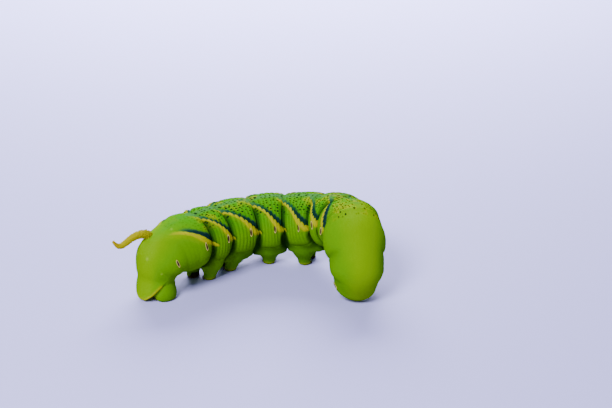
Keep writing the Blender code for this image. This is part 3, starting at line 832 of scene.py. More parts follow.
def plate_lift(share, across, outer):
    """How far the plate's outer or inner face lies off the body."""
    free = ease(share, *PLATE_COMES_FREE)
    rim = math.sqrt(max(0.0, 1 - abs(across) ** 8))
    middle = PLATE_LIFT + PLATE_THICKNESS / 2
    half = PLATE_THICKNESS / 2 * (PLATE_RIM_SHARE + (1 - PLATE_RIM_SHARE) * rim)
    if outer:
        return (middle + half) * free + PLATE_LEAN * ease(share, *PLATE_LEANS)
    return (middle - half) * free - PLATE_ROOT * (1 - free)


def plate_shell(outer):
    grid = []
    for row in range(PLATE_ROWS + 1):
        share = row / PLATE_ROWS
        station = PLATE_FRONT + (PLATE_TIP - PLATE_FRONT) * share
        for column in range(PLATE_COLUMNS + 1):
            across = 2 * column / PLATE_COLUMNS - 1
            angle = 90 + plate_half_angle(share) * across
            grid.append(plate_point(station, angle, plate_lift(share, across, outer)))
    return grid


def plate_form():
    """The anal plate: flush with the back at its front, and standing free over the claspers."""
    points = np.array(plate_shell(outer=False) + plate_shell(outer=True))
    rows, columns = PLATE_ROWS, PLATE_COLUMNS
    wide, second = columns + 1, (rows + 1) * (columns + 1)
    faces = []
    for row in range(rows):
        for column in range(columns):
            corner = row * wide + column
            quad = (corner, corner + 1, corner + 1 + wide, corner + wide)
            faces += [quad, tuple(second + k for k in reversed(quad))]
    rim = list(range(columns))
    rim += [row * wide + columns for row in range(rows)]
    rim += [rows * wide + column for column in range(columns, 0, -1)]
    rim += [row * wide for row in range(rows, 0, -1)]
    for first, following in zip(rim, rim[1:] + rim[:1]):
        faces.append((first, following, second + following, second + first))
    free_rim = [corner for corner in rim if corner // wide > rows * 0.35]
    return points, faces, points[[corner + second for corner in free_rim]]


class BodyMap:
    """Tells where on the body a point of the skin lies."""

    def __init__(self):
        self.stations = np.linspace(0, COUNT, COUNT * MAP_SECTIONS + 1)
        self.degrees = np.arange(-180, 180, SECTION_DEGREES)
        rows = [section(station, self.degrees) for station in self.stations]
        self.grid = np.array([points for points, _ in rows])
        self.outward = np.array([outward for _, outward in rows])
        self.along = np.gradient(self.grid, self.stations, axis=0)
        step = 2 * SECTION_DEGREES
        self.around = (np.roll(self.grid, -1, axis=1) - np.roll(self.grid, 1, axis=1)) / step
        self.tree = tree_of(self.grid.reshape(-1, 3))

    def find(self, points):
        nearest = np.array([self.tree.find(point)[1] for point in points])
        row, column = np.divmod(nearest, len(self.degrees))
        offset = points - self.grid[row, column]
        along, around = self.along[row, column], self.around[row, column]
        a, b, c = ((p * q).sum(axis=1) for p, q in ((along, along), (along, around), (around, around)))
        p, q = (offset * along).sum(axis=1), (offset * around).sum(axis=1)
        room = a * c - b * b
        station_step = self.stations[1]
        station = self.stations[row] + np.clip((c * p - b * q) / room, -station_step, station_step)
        angle = self.degrees[column] + np.clip((a * q - b * p) / room, -SECTION_DEGREES, SECTION_DEGREES)
        off = (offset * self.outward[row, column]).sum(axis=1)
        rise = np.degrees(np.arcsin(np.sin(np.radians(angle - front_roll(station)))))
        forward = -along / np.sqrt(a)[:, None]
        return Where(station, angle, rise, stripe_place(station, rise), off, forward)


def stripe_place(station, rise):
    """A number that is whole along the middle of each oblique stripe."""
    up = (rise - STRIPE_FOOT) / STRIPE_SPAN
    slant = station - STRIPE_RUN * up - STRIPE_SWEEP * up ** 3 - STRIPE_SHIFT
    first_back = 0.15 * (1 - ease(slant, 3.3, 3.8))
    last_foot = 0.14 * (1 - ease(rise, 6, 24)) * ease(slant, 8.4, 8.7)
    return slant - first_back + last_foot


def skin_relief(where, limb, sizes):
    """How far each point moves out, and how much it is darkened in creases, ringlets and trenches:
    partly the creases' own dark green, partly painted shade.
    """
    station, rise = where.station, where.rise
    index = np.clip(np.floor(station), 0, COUNT - 1).astype(int)
    part = station - index
    lengths = np.array([s.length for s in SEGMENTS])[index]
    body = 1 - limb
    edge = np.round(station)
    to_edge = (station - edge) * lengths
    abdomen = between(station, (2.7, 3.2), (9.3, 9.7))
    thorax = between(station, (0.7, 0.9), (2.5, 2.8))
    tail = ease(station, 9.7, 9.8)
    abdomen = abdomen * (1 - 0.7 * bell(station - 3, 0.2))
    strength = (abdomen * (1 - 0.75 * ease(rise, 50, 80)) + thorax * 0.3 * (1 - ease(rise, 15, 50))
                + tail * 0.08 * (1 - ease(rise, 20, 60)))
    low = abdomen * between(rise, (-64, -40), (-25, 12))
    crease = strength * bell(to_edge, 0.48 + 0.4 * low) * (1 + 1.3 * low) * body
    shade = strength * bell(to_edge, 1.0 + 0.4 * low) * (1 + 0.3 * low) * body
    ringlets = np.array([s.ringlets for s in SEGMENTS])
    wave = np.abs((part * RINGLETS + 0.5) % 1.0 - 0.5)
    shown = ringlets[index] * ease(rise, -34, -4) * (1 - 0.4 * ease(rise, 60, 85)) * body
    inside = between(part, (0.03, 0.1), (0.9, 0.97))
    ringlet = bell(wave, 0.17) * shown * inside
    stripe = np.round(where.slant)
    past = where.slant - stripe
    carried = ((stripe >= FIRST_STRIPE) & (stripe <= LAST_STRIPE)).astype(float)
    carried = carried * np.where(stripe == FIRST_STRIPE, 0.35, 1.0)
    carried = carried * np.where(stripe == LAST_STRIPE, 0.6, 1.0)
    carried = carried * between(rise, (-1, 9), (50, 78)) * body
    ridge = bell(past - 0.02, 0.1) * carried
    trench = bell(past + 0.17, 0.06) * carried
    fold_line = -33 + 8 * (0.4 - part)
    on_prolegs = between(station, (5.0, 5.1), (8.95, 9.0))
    side_fold = bell(rise - fold_line, 2.6) * on_prolegs * between(part, (0.02, 0.12), (0.7, 0.9))
    waist = 0.4 * bell(station - THORAX_SEGMENTS, 0.13) * ease(rise, 5, 40)
    swell = 0.4 * np.sin(part * math.pi) * abdomen * between(rise, (-50, -20), (35, 75)) * body
    belly = 1.3 * ease(-rise, 52, 74) * between(station, (4.3, 4.9), (9.0, 9.4)) * body
    out = (-sizes.crease * crease - sizes.ringlet * ringlet + sizes.ridge * ridge
           - sizes.ridge * trench - 0.3 * sizes.crease * side_fold + waist + swell + belly)
    # Partly painted shade: creases, ringlets, stripe trenches and the side fold are marked for
    # darkening, partly the creases' own dark green.
    crease_green_and_shade = np.clip(shade * 1.1 + 0.4 * ringlet + 0.4 * trench + 0.18 * side_fold, 0, 1)
    return out, crease_green_and_shade


def lobe_shift(where, limb, sizes):
    """The foot of each stripe leans forward over the fold in front of it."""
    reach = np.zeros(len(limb))
    for index in range(4, 9):
        reach += bell(where.station - index - 0.08, 0.09) * bell(where.rise - 5, 8)
    return where.forward * (sizes.lobe * reach * (1 - limb))[:, None]


def skin_forms():
    """The body, feet, leg roots and anal plate, overlapping, and the plate's free rim."""
    forms = Forms()
    forms.add(*body_form())
    for foot in feet():
        forms.add(*closed_loft(oval_rings(foot)))
    for root, way in leg_roots():
        forms.add(*egg(LEG_MOUND, root + way * 0.7, unit(np.cross(way, UP)), way))
    points, faces, rim = plate_form()
    forms.add(points, faces)
    return forms, rim


def rim_share(points, near_tail, plate_rim):
    """How close each point near the tail lies to the anal plate's free rim."""
    tree = tree_of(plate_rim)
    share = np.zeros(len(points))
    share[near_tail] = bell(np.array([tree.find(point)[2] for point in points[near_tail]]), 0.45)
    return share


def build_skin(settings):
    sizes = SkinSizes(*[getattr(settings, name) / MM for name in SkinSizes._fields])
    forms, plate_rim = skin_forms()
    mesh = fuse(forms.mesh("skin"), sizes.fineness)
    points = coordinates(mesh)
    body_map = BodyMap()
    where = body_map.find(points)
    joins = bell(where.off - 0.4, 1.0) * (1 - ease(where.rise, -24, -8))
    joins = joins * (1 - ease(where.station, 9.6, 10.0))
    points = relax_all(mesh, points, 4)
    points = relax(mesh, points, 0.5 * joins, 50)
    where = body_map.find(points)
    limb = ease(where.off, 0.35, 1.4) * (1 - ease(where.rise, -12, 5))
    rim = rim_share(points, where.station > 10.8, plate_rim)
    move_points(mesh, points)
    out, crease_green_and_shade = skin_relief(where, limb, sizes)
    out = out * (1 - ease(where.station, 11.2, 11.7))
    for station, high, starts in TAIL_BULGES:
        out = out + high * bell(where.station - station, TAIL_BULGE_LENGTH) * ease(where.rise, *starts)
    spots = pale_spots(where)
    out = out + 0.06 * spots
    points = points + normals(mesh) * out[:, None] + lobe_shift(where, limb, sizes)
    points[:, 2] = np.maximum(points[:, 2], 0.0)
    move_points(mesh, points)
    for name, values in (("station", where.station), ("rise", where.rise), ("slant", where.slant),
                         ("limb", limb), ("crease_green_and_shade", crease_green_and_shade), ("rim", rim), ("height", points[:, 2]),
                         ("inner", inner_side(points)), ("spot", spots)):
        store(mesh, name, values)
    nodes = NAMES + ["anal_plate"] + [foot.name for foot in feet()]
    place_piece("skin", mesh, skin_finish(settings), nodes)


def pale_spots(where):
    spots = np.zeros(len(where.station))
    for station, rise in SPOTS:
        for angle in (rise, 190 - rise):
            along = (where.station - station) * SEGMENTS[int(station)].length * 1.8
            around = np.radians(where.angle - angle) * SEGMENTS[int(station)].half_width
            spots += bell(np.hypot(along, around), SPOT_SIZE)
    return spots


def inner_side(points):
    """How much each point of a foot faces the other foot of its pair."""
    inner = np.zeros(len(points))
    for foot in feet():
        away = (points - foot.sole)[:, :2]
        distance = np.maximum(np.linalg.norm(away, axis=1), 0.01)
        inner += (away @ foot.inward[:2]) / distance * (1 - ease(distance, 2.0, 2.6))
    return inner


def skin_finish(colours):
    f = Finish("larva_skin", roughness=0.5, gloss=0.0, depth=0.06)
    station, rise, slant = f.attribute("station"), f.attribute("rise"), f.attribute("slant")
    limb, crease_green_and_shade, rim = f.attribute("limb"), f.attribute("crease_green_and_shade"), f.attribute("rim")
    height, inner = f.attribute("height"), f.attribute("inner")
    wobble = f.noise(0.0022, 3.0)
    mottle = f.noise(0.0009, 3.0)
    patchy = f.noise(0.006, 2.0)

    # Ground colours
    banded = (station + patchy * 0.4).ease(3.0, 3.9) * (1 - (slant + patchy * 0.3).ease(8.1, 9.4))
    dotting = (station + mottle * 0.1).ease(2.72, 2.84) * (1 - slant.ease(8.7, 8.8))
    dotting = dotting * (1 - station.ease(9.0, 9.4) * 0.8)
    low = 1 - (rise + wobble * 14).ease(-48, -14)
    flank_side = 1 - (rise + patchy * 20).ease(5, 50)
    green = f.mix(flank_side, colours.back, colours.flank)
    plain = f.mix((rise + patchy * 24).ease(34, 78), colours.leaf, colours.lime)
    ground = f.mix(banded, plain, green)
    # Towards the underside the colour turns to the darker belly green: partly its own duller green,
    # partly painted shade under the body.
    ground = f.mix(low * banded * 0.75, ground, colours.belly)
    ground = f.mix((patchy + 0.5) * 0.1, ground, colours.lime)

    # Oblique stripes with their blue edges
    stripe = round(slant)
    carried = (stripe > FIRST_STRIPE - 0.5) * (stripe < LAST_STRIPE + 0.5) * (1 - limb)
    first = stripe < FIRST_STRIPE + 0.5
    last = stripe > LAST_STRIPE - 0.5
    past = slant - stripe + wobble * 0.05
    width = (0.17 - 0.10 * rise.ease(4, 46)) * (1 - 0.45 * first) * (1 - 0.25 * last)
    width = width + 0.04 * last * rise.ease(12, 40)
    tooth = abs((station * RINGLETS).fraction() - 0.5) * 2
    front = (tooth ** 2) * 0.075 * (1 - 0.85 * last) - width
    lit = (past - front).ease(-0.012, 0.014)
    rear = 0.10 - 0.08 * rise.ease(16, 46) - 0.05 * first - 0.02 * last
    fading = 1 - (past - rear + mottle * 0.05).ease(0.0, 0.09)
    span = (rise + first * 16).ease(1.5, 6) * (1 - (rise + mottle * 12 + last * 11).ease(66, 86))
    yellow = lit * fading * span * carried
    ahead = front - past
    reach = 0.22 - 0.14 * rise.ease(16, 60)
    edge = ahead.ease(-0.004, 0.02) * (1 - (ahead + mottle * 0.16 - reach).ease(0.0, 0.13))
    edge = edge * carried * (rise + first * 10).ease(5, 14)
    edge = edge * (1 - (0.5 + 0.5 * last) * (rise + last * 16).ease(70, 86))
    edge = edge * (station - stripe).ease(-0.07, 0.02)
    blue = f.mix((rise + wobble * 16).ease(44, 62), colours.navy, colours.teal)
    blue = f.mix((rise + mottle * 16).ease(62, 80), blue, colours.bloom_and_sheen)
    glow = (1 - (past - width).ease(0.0, 0.22)) * past.ease(-0.1, 0.0) * span * carried

    # Dark dots in rows along the ringlets, and a grey-blue band along the top of the back, partly its
    # own tint and partly painted sheen
    grid = f.node("CombineXYZ", sockets={0: station * RINGLETS, 1: rise / 6.5})
    settings = {"voronoi_dimensions": "2D"}
    inputs = {"Vector": grid, "Scale": 1.0, "Randomness": 0.6}
    near = f.node("TexVoronoi", settings, inputs)
    chance = f.node("SeparateColor", sockets={0: f.node("TexVoronoi", settings, inputs, output=1)})
    dotted = dotting * (rise + wobble * 20).ease(34, 50) * (chance > 0.36 - 0.24 * banded)
    dotted = dotted * (1 - yellow) * (1 - edge * 0.8)
    size = (chance * 0.2 + 0.13) * (0.8 + 0.2 * banded)
    dot = (1 - (near - size).ease(-0.05, 0.06)) * dotted
    halo = (1 - (near - size).ease(0.06, 0.26)) * dotted
    # Partly painted sheen: grey blue mixed in along the top of the back.
    bloom_and_sheen = rise.ease(79, 88) * dotting * banded * (mottle + 0.75).at_most(1.0)

    golden = (patchy.ease(0.02, 0.12) * dotted).at_most(1.0)
    colour = f.mix(bloom_and_sheen * 0.75, ground, colours.bloom_and_sheen)
    colour = f.mix(golden * 0.5, colour, (0.30, 0.32, 0.0))
    colour = f.mix(halo * 0.3, colour, colours.lime)
    colour = f.mix(glow * 0.35, colour, (0.22, 0.30, 0.0))
    colour = f.mix(edge * 0.95, colour, blue)
    colour = f.mix(yellow * 0.95, colour, colours.stripe)
    colour = f.mix(dot, colour, colours.speck)
    # Painted shade in part: creases, ringlets and trenches are mixed towards the fold green, which is
    # partly their own dark green.
    colour = f.mix((crease_green_and_shade * 0.85).at_most(1.0) * (1 - yellow * 0.7), colour, colours.fold)
    colour = f.mix(rim * 0.85, colour, (0.38, 0.37, 0.0))
    colour = f.mix(f.attribute("spot") * 0.6, colour, (0.26, 0.42, 0.03))
    foot = limb * (1 - (height + mottle * 0.6).ease(0.5, 1.3))
    colour = f.mix(foot * 0.6, colour, (0.20, 0.27, 0.0))
    sole = 1 - (height + mottle * 0.4 - inner.ease(0.1, 0.7) * 1.3).ease(0.15, 0.45)
    colour = f.mix(sole * limb.at_least(1 - height.ease(0.1, 0.4)), colour, colours.sole)
    grain = f.noise(0.00016, 2.0)
    fine = f.noise(0.0005, 3.0)
    return f.use(Base_Color=colour, Roughness=0.42 + fine * 0.2,
                 Normal=f.bump(grain * 0.4 + fine, 0.00006))


# Breathing holes

def spiracle_places():
    """The segment, station and angle of every breathing hole, the right one of a pair first."""
    for index in SPIRACLE_SEGMENTS:
        station, rise = ODD_SPIRACLES.get(index, (index + SPIRACLE_STATION, SPIRACLE_ANGLE))
        roll = float(front_roll(station))
        for angle in (rise + roll, 180 - rise + roll):
            yield index, station, angle


def skin_hunter(skin):
    """A tree that finds the skin's surface, in millimetres."""
    points = coordinates(skin.data) / MM
    faces = [tuple(face.vertices) for face in skin.data.polygons]
    return BVHTree.FromPolygons(points.tolist(), faces)


def on_skin(tree, station, degrees):
    """The skin's own surface at a place of the body, seen from outside."""
    point, out, frame = surface_point(station, degrees)
    start = point + out * 2.0
    found, normal, _, _ = tree.ray_cast(Vector(start), Vector(-out), 5.0)
    if found is None:
        raise RuntimeError(f"no skin at station {station}, angle {degrees}")
    return np.array(found), np.array(normal), frame


def build_spiracles(settings, tree):
    height, width = settings.height / MM / 2, settings.width / MM / 2
    rims, slits = Forms(), Forms()
    for index, station, angle in spiracle_places():
        centre, out, frame = on_skin(tree, station, angle)
        along = unit(frame.forward - out * frame.forward.dot(out))
        upward = np.cross(out, along)
        if index == REAR_SPIRACLE:
            on_the_right = (centre - frame.centre) @ frame.side > 0
            lean = -REAR_SPIRACLE_LEAN if on_the_right else REAR_SPIRACLE_LEAN
            along, upward = turned(along, out, lean), turned(upward, out, lean)
        centre = centre + out * 0.02
        rims.add(*rim_form(centre, out, along * width, upward * height))
        rims.add(*egg((width - 0.06, height - 0.06, 0.08), centre, upward, out, 24, 8))
        slits.add(*egg((width * 0.66, height * 0.76, 0.16), centre, upward, out, 24, 8))
    place_piece("spiracle_rims", rims.mesh("spiracle_rims"), rim_finish(settings))
    place_piece("spiracle_slits", slits.mesh("spiracle_slits"), slit_finish(settings))


def rim_form(centre, out, along, upward):
    """An oval rim round a breathing hole, of one tube that closes on itself."""
    around, tube_sides = turns_round(40), turns_round(10)
    rings = []
    for turn in around:
        radial = along * math.cos(turn) + upward * math.sin(turn)
        way = unit(radial)
        rings.append(centre + radial - way * RIM_THICKNESS
                     + np.outer(np.cos(tube_sides) * RIM_THICKNESS, way)
                     + np.outer(np.sin(tube_sides) * RIM_THICKNESS * 1.1, out))
    return np.concatenate(rings), band_faces(len(around), len(tube_sides), closed=True)


def rim_finish(colours):
    f = Finish("spiracle_rim", roughness=0.45, gloss=0.3, depth=0.1)
    return f.two_tone(colours.rim, (0.42, 0.40, 0.06), 0.0004, grain=0.0002, relief=0.00003)


def slit_finish(colours):
    f = Finish("spiracle_slit", roughness=0.5, gloss=0.2)
    return f.two_tone(colours.slit, (0.05, 0.015, 0.006), 0.0003, 0.3, grain=0.00015, relief=0.00004)


# The horn

def horn_path():
    root, _, frame = surface_point(HORN_STATION, HORN_ANGLE)
    backward = turned(level(-frame.forward), UP, -HORN_LEAN)
    points = [root + backward * back + UP * rise for back, rise in HORN_POINTS]
    return smooth_path(points, HORN_RADII, 12)


def build_horn(settings):
    path, radii = horn_path()
    forms = Forms()
    forms.add(*tube(path, radii * HORN_CORE, 40))
    chooser = random.Random(7)
    along = np.gradient(path, axis=0)
    for row in range(settings.rows):
        share = WARTS_START + WARTS_SPAN * row / (settings.rows - 1)
        place = share * (len(path) - 1)
        index = min(int(place), len(path) - 2)
        centre = path[index] + (path[index + 1] - path[index]) * (place - index)
        way = unit(along[index])
        radius = np.interp(place, np.arange(len(radii)), radii)
        first = unit(np.cross(way, UP))
        size = 1 - WART_SHRINK * share
        around = max(6, round(settings.around * radius / radii[0] + 3))
        for step in range(around):
            turn = 360 * (step + 0.5 * (row % 2) + chooser.uniform(-0.2, 0.2)) / around
            out = turned(first, way, turn)
            out = unit(out + way * chooser.uniform(-0.1, 0.3))
            height = settings.wart / MM * size * chooser.uniform(0.6, 1.1)
            spot = centre + out * radius * 0.86
            wart = [spot + out * height * part for part in WART_PARTS]
            forms.add(*tube(wart, WART_RADII * (0.45 + 0.55 * size), 8))
    mesh = fuse(forms.mesh("horn"), HORN_FACET)
    points = coordinates(mesh)
    points = relax_all(mesh, points, 2)
    move_points(mesh, points)
    tree = tree_of(path)
    nearest = [tree.find(point) for point in points]
    share = np.array([found[1] / (len(path) - 1) for found in nearest])
    proud = np.array([found[2] - radii[found[1]] for found in nearest])
    store(mesh, "share", share)
    store(mesh, "proud", np.clip(proud / 0.4 + 0.5, 0, 1))
    place_piece("horn_rough", mesh, horn_finish(settings), ["horn"])


def horn_finish(colours):
    f = Finish("horn_rough", roughness=0.5, gloss=0.02, depth=0.06)
    share, proud = f.attribute("share"), f.attribute("proud")
    uneven = f.noise(0.0012)
    colour = f.mix((share + uneven * 0.1).ease(0.1, 0.4), colours.root, colours.shaft)
    colour = f.mix((share + uneven * 0.1).ease(0.72, 0.95), colour, colours.tip)
    colour = f.mix((1 - proud).ease(0.45, 0.9) * 0.45, colour, (0.24, 0.17, 0.0))
    # Painted highlight: the tops of the warts are lightened to pale yellow.
    colour = f.mix(proud.ease(0.7, 1.0) * 0.35, colour, (0.38, 0.37, 0.0))
    return f.use(Base_Color=colour, Roughness=0.5 + uneven * 0.2,
                 Normal=f.bump(f.noise(0.0002), 0.00004))


# The head and mouth

def head_frame():
    neck = frame_at(0.0)
    forward = unit(turned(neck.forward, neck.side, -HEAD_TUCK))
    centre = neck.centre + neck.forward * HEAD_REACH - neck.up * HEAD_DROP
    return Frame(centre, forward, np.cross(neck.side, forward), neck.side)


def head_point(longitude, latitude, lift=0.0):
    """A point of the head: longitude from the face to the cheek, latitude up to the crown."""
    frame = head_frame()
    turn, rise = math.radians(longitude), math.radians(latitude)
    across, ahead, up = math.cos(rise) * math.sin(turn), math.cos(rise) * math.cos(turn), math.sin(rise)
    narrow = 1 - HEAD_NARROWING * max(0.0, -up)
    out = (frame.side * across * HEAD_HALF[0] * narrow + frame.forward * ahead * HEAD_HALF[1]
           + frame.up * up * HEAD_HALF[2])
    return frame.centre + out + unit(out) * lift, unit(out)


def head_groove(across, ahead, up):
    """Depth of the seams: one over the crown that forks round the face's triangle."""
    middle = bell(across, 0.035) * ease(up, 0.1, 0.25)
    fork = bell(np.abs(across) - 0.42 * np.clip(0.18 - up, 0.0, 1.0), 0.03) * ease(0.18 - up, 0.0, 0.05)
    return (middle + 0.8 * fork * ease(0.75 + up, 0.0, 0.1)) * ease(ahead, -0.2, 0.1)


def build_head(settings):
    frame = head_frame()
    around, along = 160, 110
    turns = turns_round(around)
    rings, longitudes, grooves = [], [], []
    for row in range(1, along):
        tilt = math.pi * (row / along - 0.5)
        across, ahead = np.sin(turns) * math.cos(tilt), np.cos(turns) * math.cos(tilt)
        up = np.full(around, math.sin(tilt))
        cleft = HEAD_CLEFT * bell(across, HEAD_CLEFT_WIDTH) * np.maximum(0.0, up) / HEAD_HALF[2]
        narrow = 1 - HEAD_NARROWING * np.maximum(0.0, -up)
        groove = head_groove(across, ahead, up)
        sunk = 1 - 0.035 * groove
        rings.append(frame.centre + np.outer(across * narrow * sunk * HEAD_HALF[0], frame.side)
                     + np.outer(ahead * sunk * HEAD_HALF[1], frame.forward)
                     + np.outer(up * (1 - cleft) * sunk * HEAD_HALF[2], frame.up))
        longitudes.append(np.abs(np.degrees(np.arctan2(across, ahead))))
        grooves.append(groove)
    points, faces = closed_loft(rings)
    points[-2] = frame.centre - frame.up * HEAD_HALF[2]
    points[-1] = frame.centre + frame.up * HEAD_HALF[2] * (1 - HEAD_CLEFT / HEAD_HALF[2])
    points[:, 2] = np.maximum(points[:, 2], 0.0)
    forms = Forms()
    forms.add(points, faces)
    mesh = forms.mesh("head")
    store(mesh, "longitude", np.append(np.concatenate(longitudes), (90, 90)))
    store(mesh, "groove", np.append(np.concatenate(grooves), (0, 0)))
    place_piece("head_capsule", mesh, head_finish(settings), ["head"])
    eyes = Forms()
    for sign in (-1, 1):
        for latitude, shift in STEMMA_ARC:
            centre, out = head_point(sign * (CHEEK_LONGITUDE + shift), latitude, -0.1)
            eyes.add(*egg((0.3, 0.3, 0.26), centre, frame.up, out, 20, 12))
    place_piece("stemmata", eyes.mesh("stemmata"), eye_finish())


def head_finish(colours):
    f = Finish("head_shell", roughness=0.3, depth=0.05)
    longitude, groove = f.attribute("longitude"), f.attribute("groove")
    wave = f.noise(0.0016)
    apart = abs(longitude + wave * 8 - CHEEK_LONGITUDE)
    colour = f.mix((wave + 0.5) * 0.5, colours.shell, (0.36, 0.46, 0.04))
    colour = f.mix((1 - apart.ease(18, 23)) * 0.8, colour, colours.pale)
    colour = f.mix(1 - apart.ease(12, 15), colour, colours.band)
    colour = f.mix(groove * 0.6, colour, (0.10, 0.09, 0.01))
    pebble = f.node("TexVoronoi", sockets={"Vector": f.place(), "Scale": 2600.0})
    return f.use(Base_Color=colour, Roughness=0.3 + wave * 0.2, Normal=f.bump(pebble + wave, 0.00005))


def eye_finish():
    f = Finish("stemma", roughness=0.12)
    return f.two_tone((0.012, 0.008, 0.004), (0.05, 0.025, 0.008), 0.0002)


def build_mouth(settings):
    frame = head_frame()
    jaws, soft = Forms(), Forms()
    for sign in (-1, 1):
        centre, out = head_point(sign * MANDIBLE_PLACE[0], MANDIBLE_PLACE[1], 0.35)
        points, faces = egg(MANDIBLE, centre, out, frame.up, 28, 16)
        inward = -frame.side * sign
        reach = (points - centre) @ out
        notch = 0.12 * np.sin(((points - centre) @ frame.up) * 9)
        points = points + np.outer(np.clip(reach, 0, 1) * notch, inward)
        jaws.add(points, faces)
        root, out = head_point(sign * ANTENNA_PLACE[0], ANTENNA_PLACE[1])
        lean = unit(out + frame.forward * 0.6)
        path, radii = smooth_path([root + lean * (ANTENNA_LENGTH * k / 3 - 0.5) for k in range(4)],
                                  ANTENNA_RADII, 8)
        ringed = radii * (1 - 0.16 * bell((np.arange(len(path)) % 8) - 4, 1.2))
        soft.add(*tube(path, ringed, 20))
        palp, down = head_point(sign * 14, -74)
        path, radii = smooth_path([palp + down * (0.35 * k - 0.3) for k in range(4)], PALP_RADII, 6)
        soft.add(*tube(path, radii, 18))
    centre, out = head_point(0, -26, 0.1)
    points, faces = egg(LABRUM, centre, out, frame.up, 32, 16)
    notch = bell((points - centre) @ frame.side, 0.25) * ease(-((points - centre) @ frame.up), 0.1, 0.6)
    soft.add(points + np.outer(notch * 0.25, frame.up), faces)
    place_piece("mandibles", jaws.mesh("mandibles"), jaw_finish(settings),
                ["mandible_left", "mandible_right"])
    place_piece("lips_and_feelers", soft.mesh("lips_and_feelers"), lip_finish(settings),
                ["labrum", "antenna_left", "antenna_right"])


def jaw_finish(colours):
    f = Finish("jaw", roughness=0.22)
    return f.two_tone(colours.jaw, (0.12, 0.045, 0.012), 0.0006, grain=0.0002, relief=0.00002)


def lip_finish(colours):
    f = Finish("lip", roughness=0.38, depth=0.08)
    return f.two_tone(colours.shell, colours.pale, 0.0005, grain=0.0002, relief=0.00003)


# Thoracic legs

def leg_form(name, sign):
    """One thoracic leg, the claw at its tip and how far each of its points lies in a joint."""
    frame = segment_frame(name)
    path, radii = smooth_path(leg_points(name, sign), LEG_RADII, LEG_STEPS)
    place = np.arange(len(path)) / LEG_STEPS
    pinch = sum(depth * bell(place - at, width) for at, width, depth in LEG_PINCHES)
    swell = 0.08 * np.sin(np.clip(place, 0, 3) * 2 * math.pi - math.pi / 2)
    leg = tube(path[:-4], (radii * (1 - 0.2 * pinch + swell))[:-4], LEG_SIDES)
    joint = np.append(np.repeat(pinch[:-4], LEG_SIDES), (0, pinch[-5]))
    way = unit(path[-1] - path[-6])
    bend = -frame.up * 0.3 - frame.side * sign * 0.5
    curve = [path[-6] + way * ahead + bend * bent for ahead, bent in CLAW_CURVE]
    return leg, tube(*smooth_path(curve, CLAW_RADII, 6), 12), joint


def build_legs(settings):
    shells, claws, joints, nodes = Forms(), Forms(), [], []
    for name in THORACIC_LEGS:
        for side_name, sign in SIDES:
            leg, claw, joint = leg_form(name, sign)
            shells.add(*leg)
            claws.add(*claw)
            joints.append(joint)
            nodes.append(f"leg_{name}_{side_name}")
    mesh = shells.mesh("thoracic_legs")
    store(mesh, "joint", np.concatenate(joints))
    place_piece("thoracic_legs", mesh, leg_finish(settings), nodes)
    place_piece("leg_claws", claws.mesh("leg_claws"), claw_finish(settings))


def leg_finish(colours):
    f = Finish("leg_shell", roughness=0.28)
    joint = f.attribute("joint")
    colour = f.mix(f.noise(0.0008) + 0.35, colours.shell, (0.07, 0.05, 0.02))
    colour = f.mix((joint + f.noise(0.0005) * 0.3).ease(0.45, 0.75), colour, colours.joint)
    return f.use(Base_Color=colour, Normal=f.bump(f.noise(0.0003), 0.00005))


def claw_finish(colours):
    f = Finish("claw", roughness=0.25)
    return f.two_tone(colours.claw, (0.10, 0.04, 0.012), 0.0005, grain=0.0002, relief=0.00002)


def build_hooks(settings):
    """Small curved hooks in a band along the inner edge of each sole."""
    hooks = Forms()
    chooser = random.Random(3)
    for foot in feet():
        half_length, half_width = foot.sizes[-2][1], foot.sizes[-2][2]
        for step in range(settings.hooks):
            turn = math.radians(HOOK_ARC * (step / (settings.hooks - 1) - 0.5))
            out = foot.inward * math.cos(turn) * half_width + foot.forward * math.sin(turn) * half_length
            way = unit(out)
            root = foot.sole + out * 0.97 + UP * (0.55 + 0.12 * (step % 2))
            size = chooser.uniform(0.85, 1.1)
            curve = [root - way * 0.2, root + way * 0.14 * size - UP * 0.08,
                     root + way * 0.2 * size - UP * 0.3, root + way * 0.02 - UP * 0.5 * size]
            path, radii = smooth_path(curve, HOOK_RADII, 3)
            path[:, 2] = np.maximum(path[:, 2], 0.03)
            hooks.add(*tube(path, radii, 7))
    place_piece("foot_hooks", hooks.mesh("foot_hooks"), claw_finish(settings))


# Bristles

def build_bristles(settings):
    """Sparse short bristles on the head."""
    hairs = Forms()
    chooser = random.Random(11)
    length = settings.length / MM
    for sign in (-1, 1):
        for longitude in BRISTLE_LONGITUDES:
            for latitude in BRISTLE_LATITUDES:
                centre, out = head_point(sign * (longitude + chooser.uniform(-4, 4)), latitude)
                if centre[2] > length:
                    add_hair(hairs, centre, out, length, chooser)
    place_piece("bristles", hairs.mesh("bristles"), bristle_finish(settings))


def add_hair(hairs, centre, out, length, chooser):
    lean = np.array([chooser.uniform(-0.3, 0.3) for _ in range(3)])
    tip = centre + unit(out + lean) * length
    tip[2] = max(tip[2], 0.05)
    path = [centre - out * 0.1, centre + out * length * 0.5, tip]
    hairs.add(*tube(path, (0.035, 0.025, 0.006), 5))


def bristle_finish(colours):
    f = Finish("bristle", roughness=0.5, gloss=0.05)
    return f.two_tone(colours.pale, (0.22, 0.36, 0.03), 0.0006)


# Stage

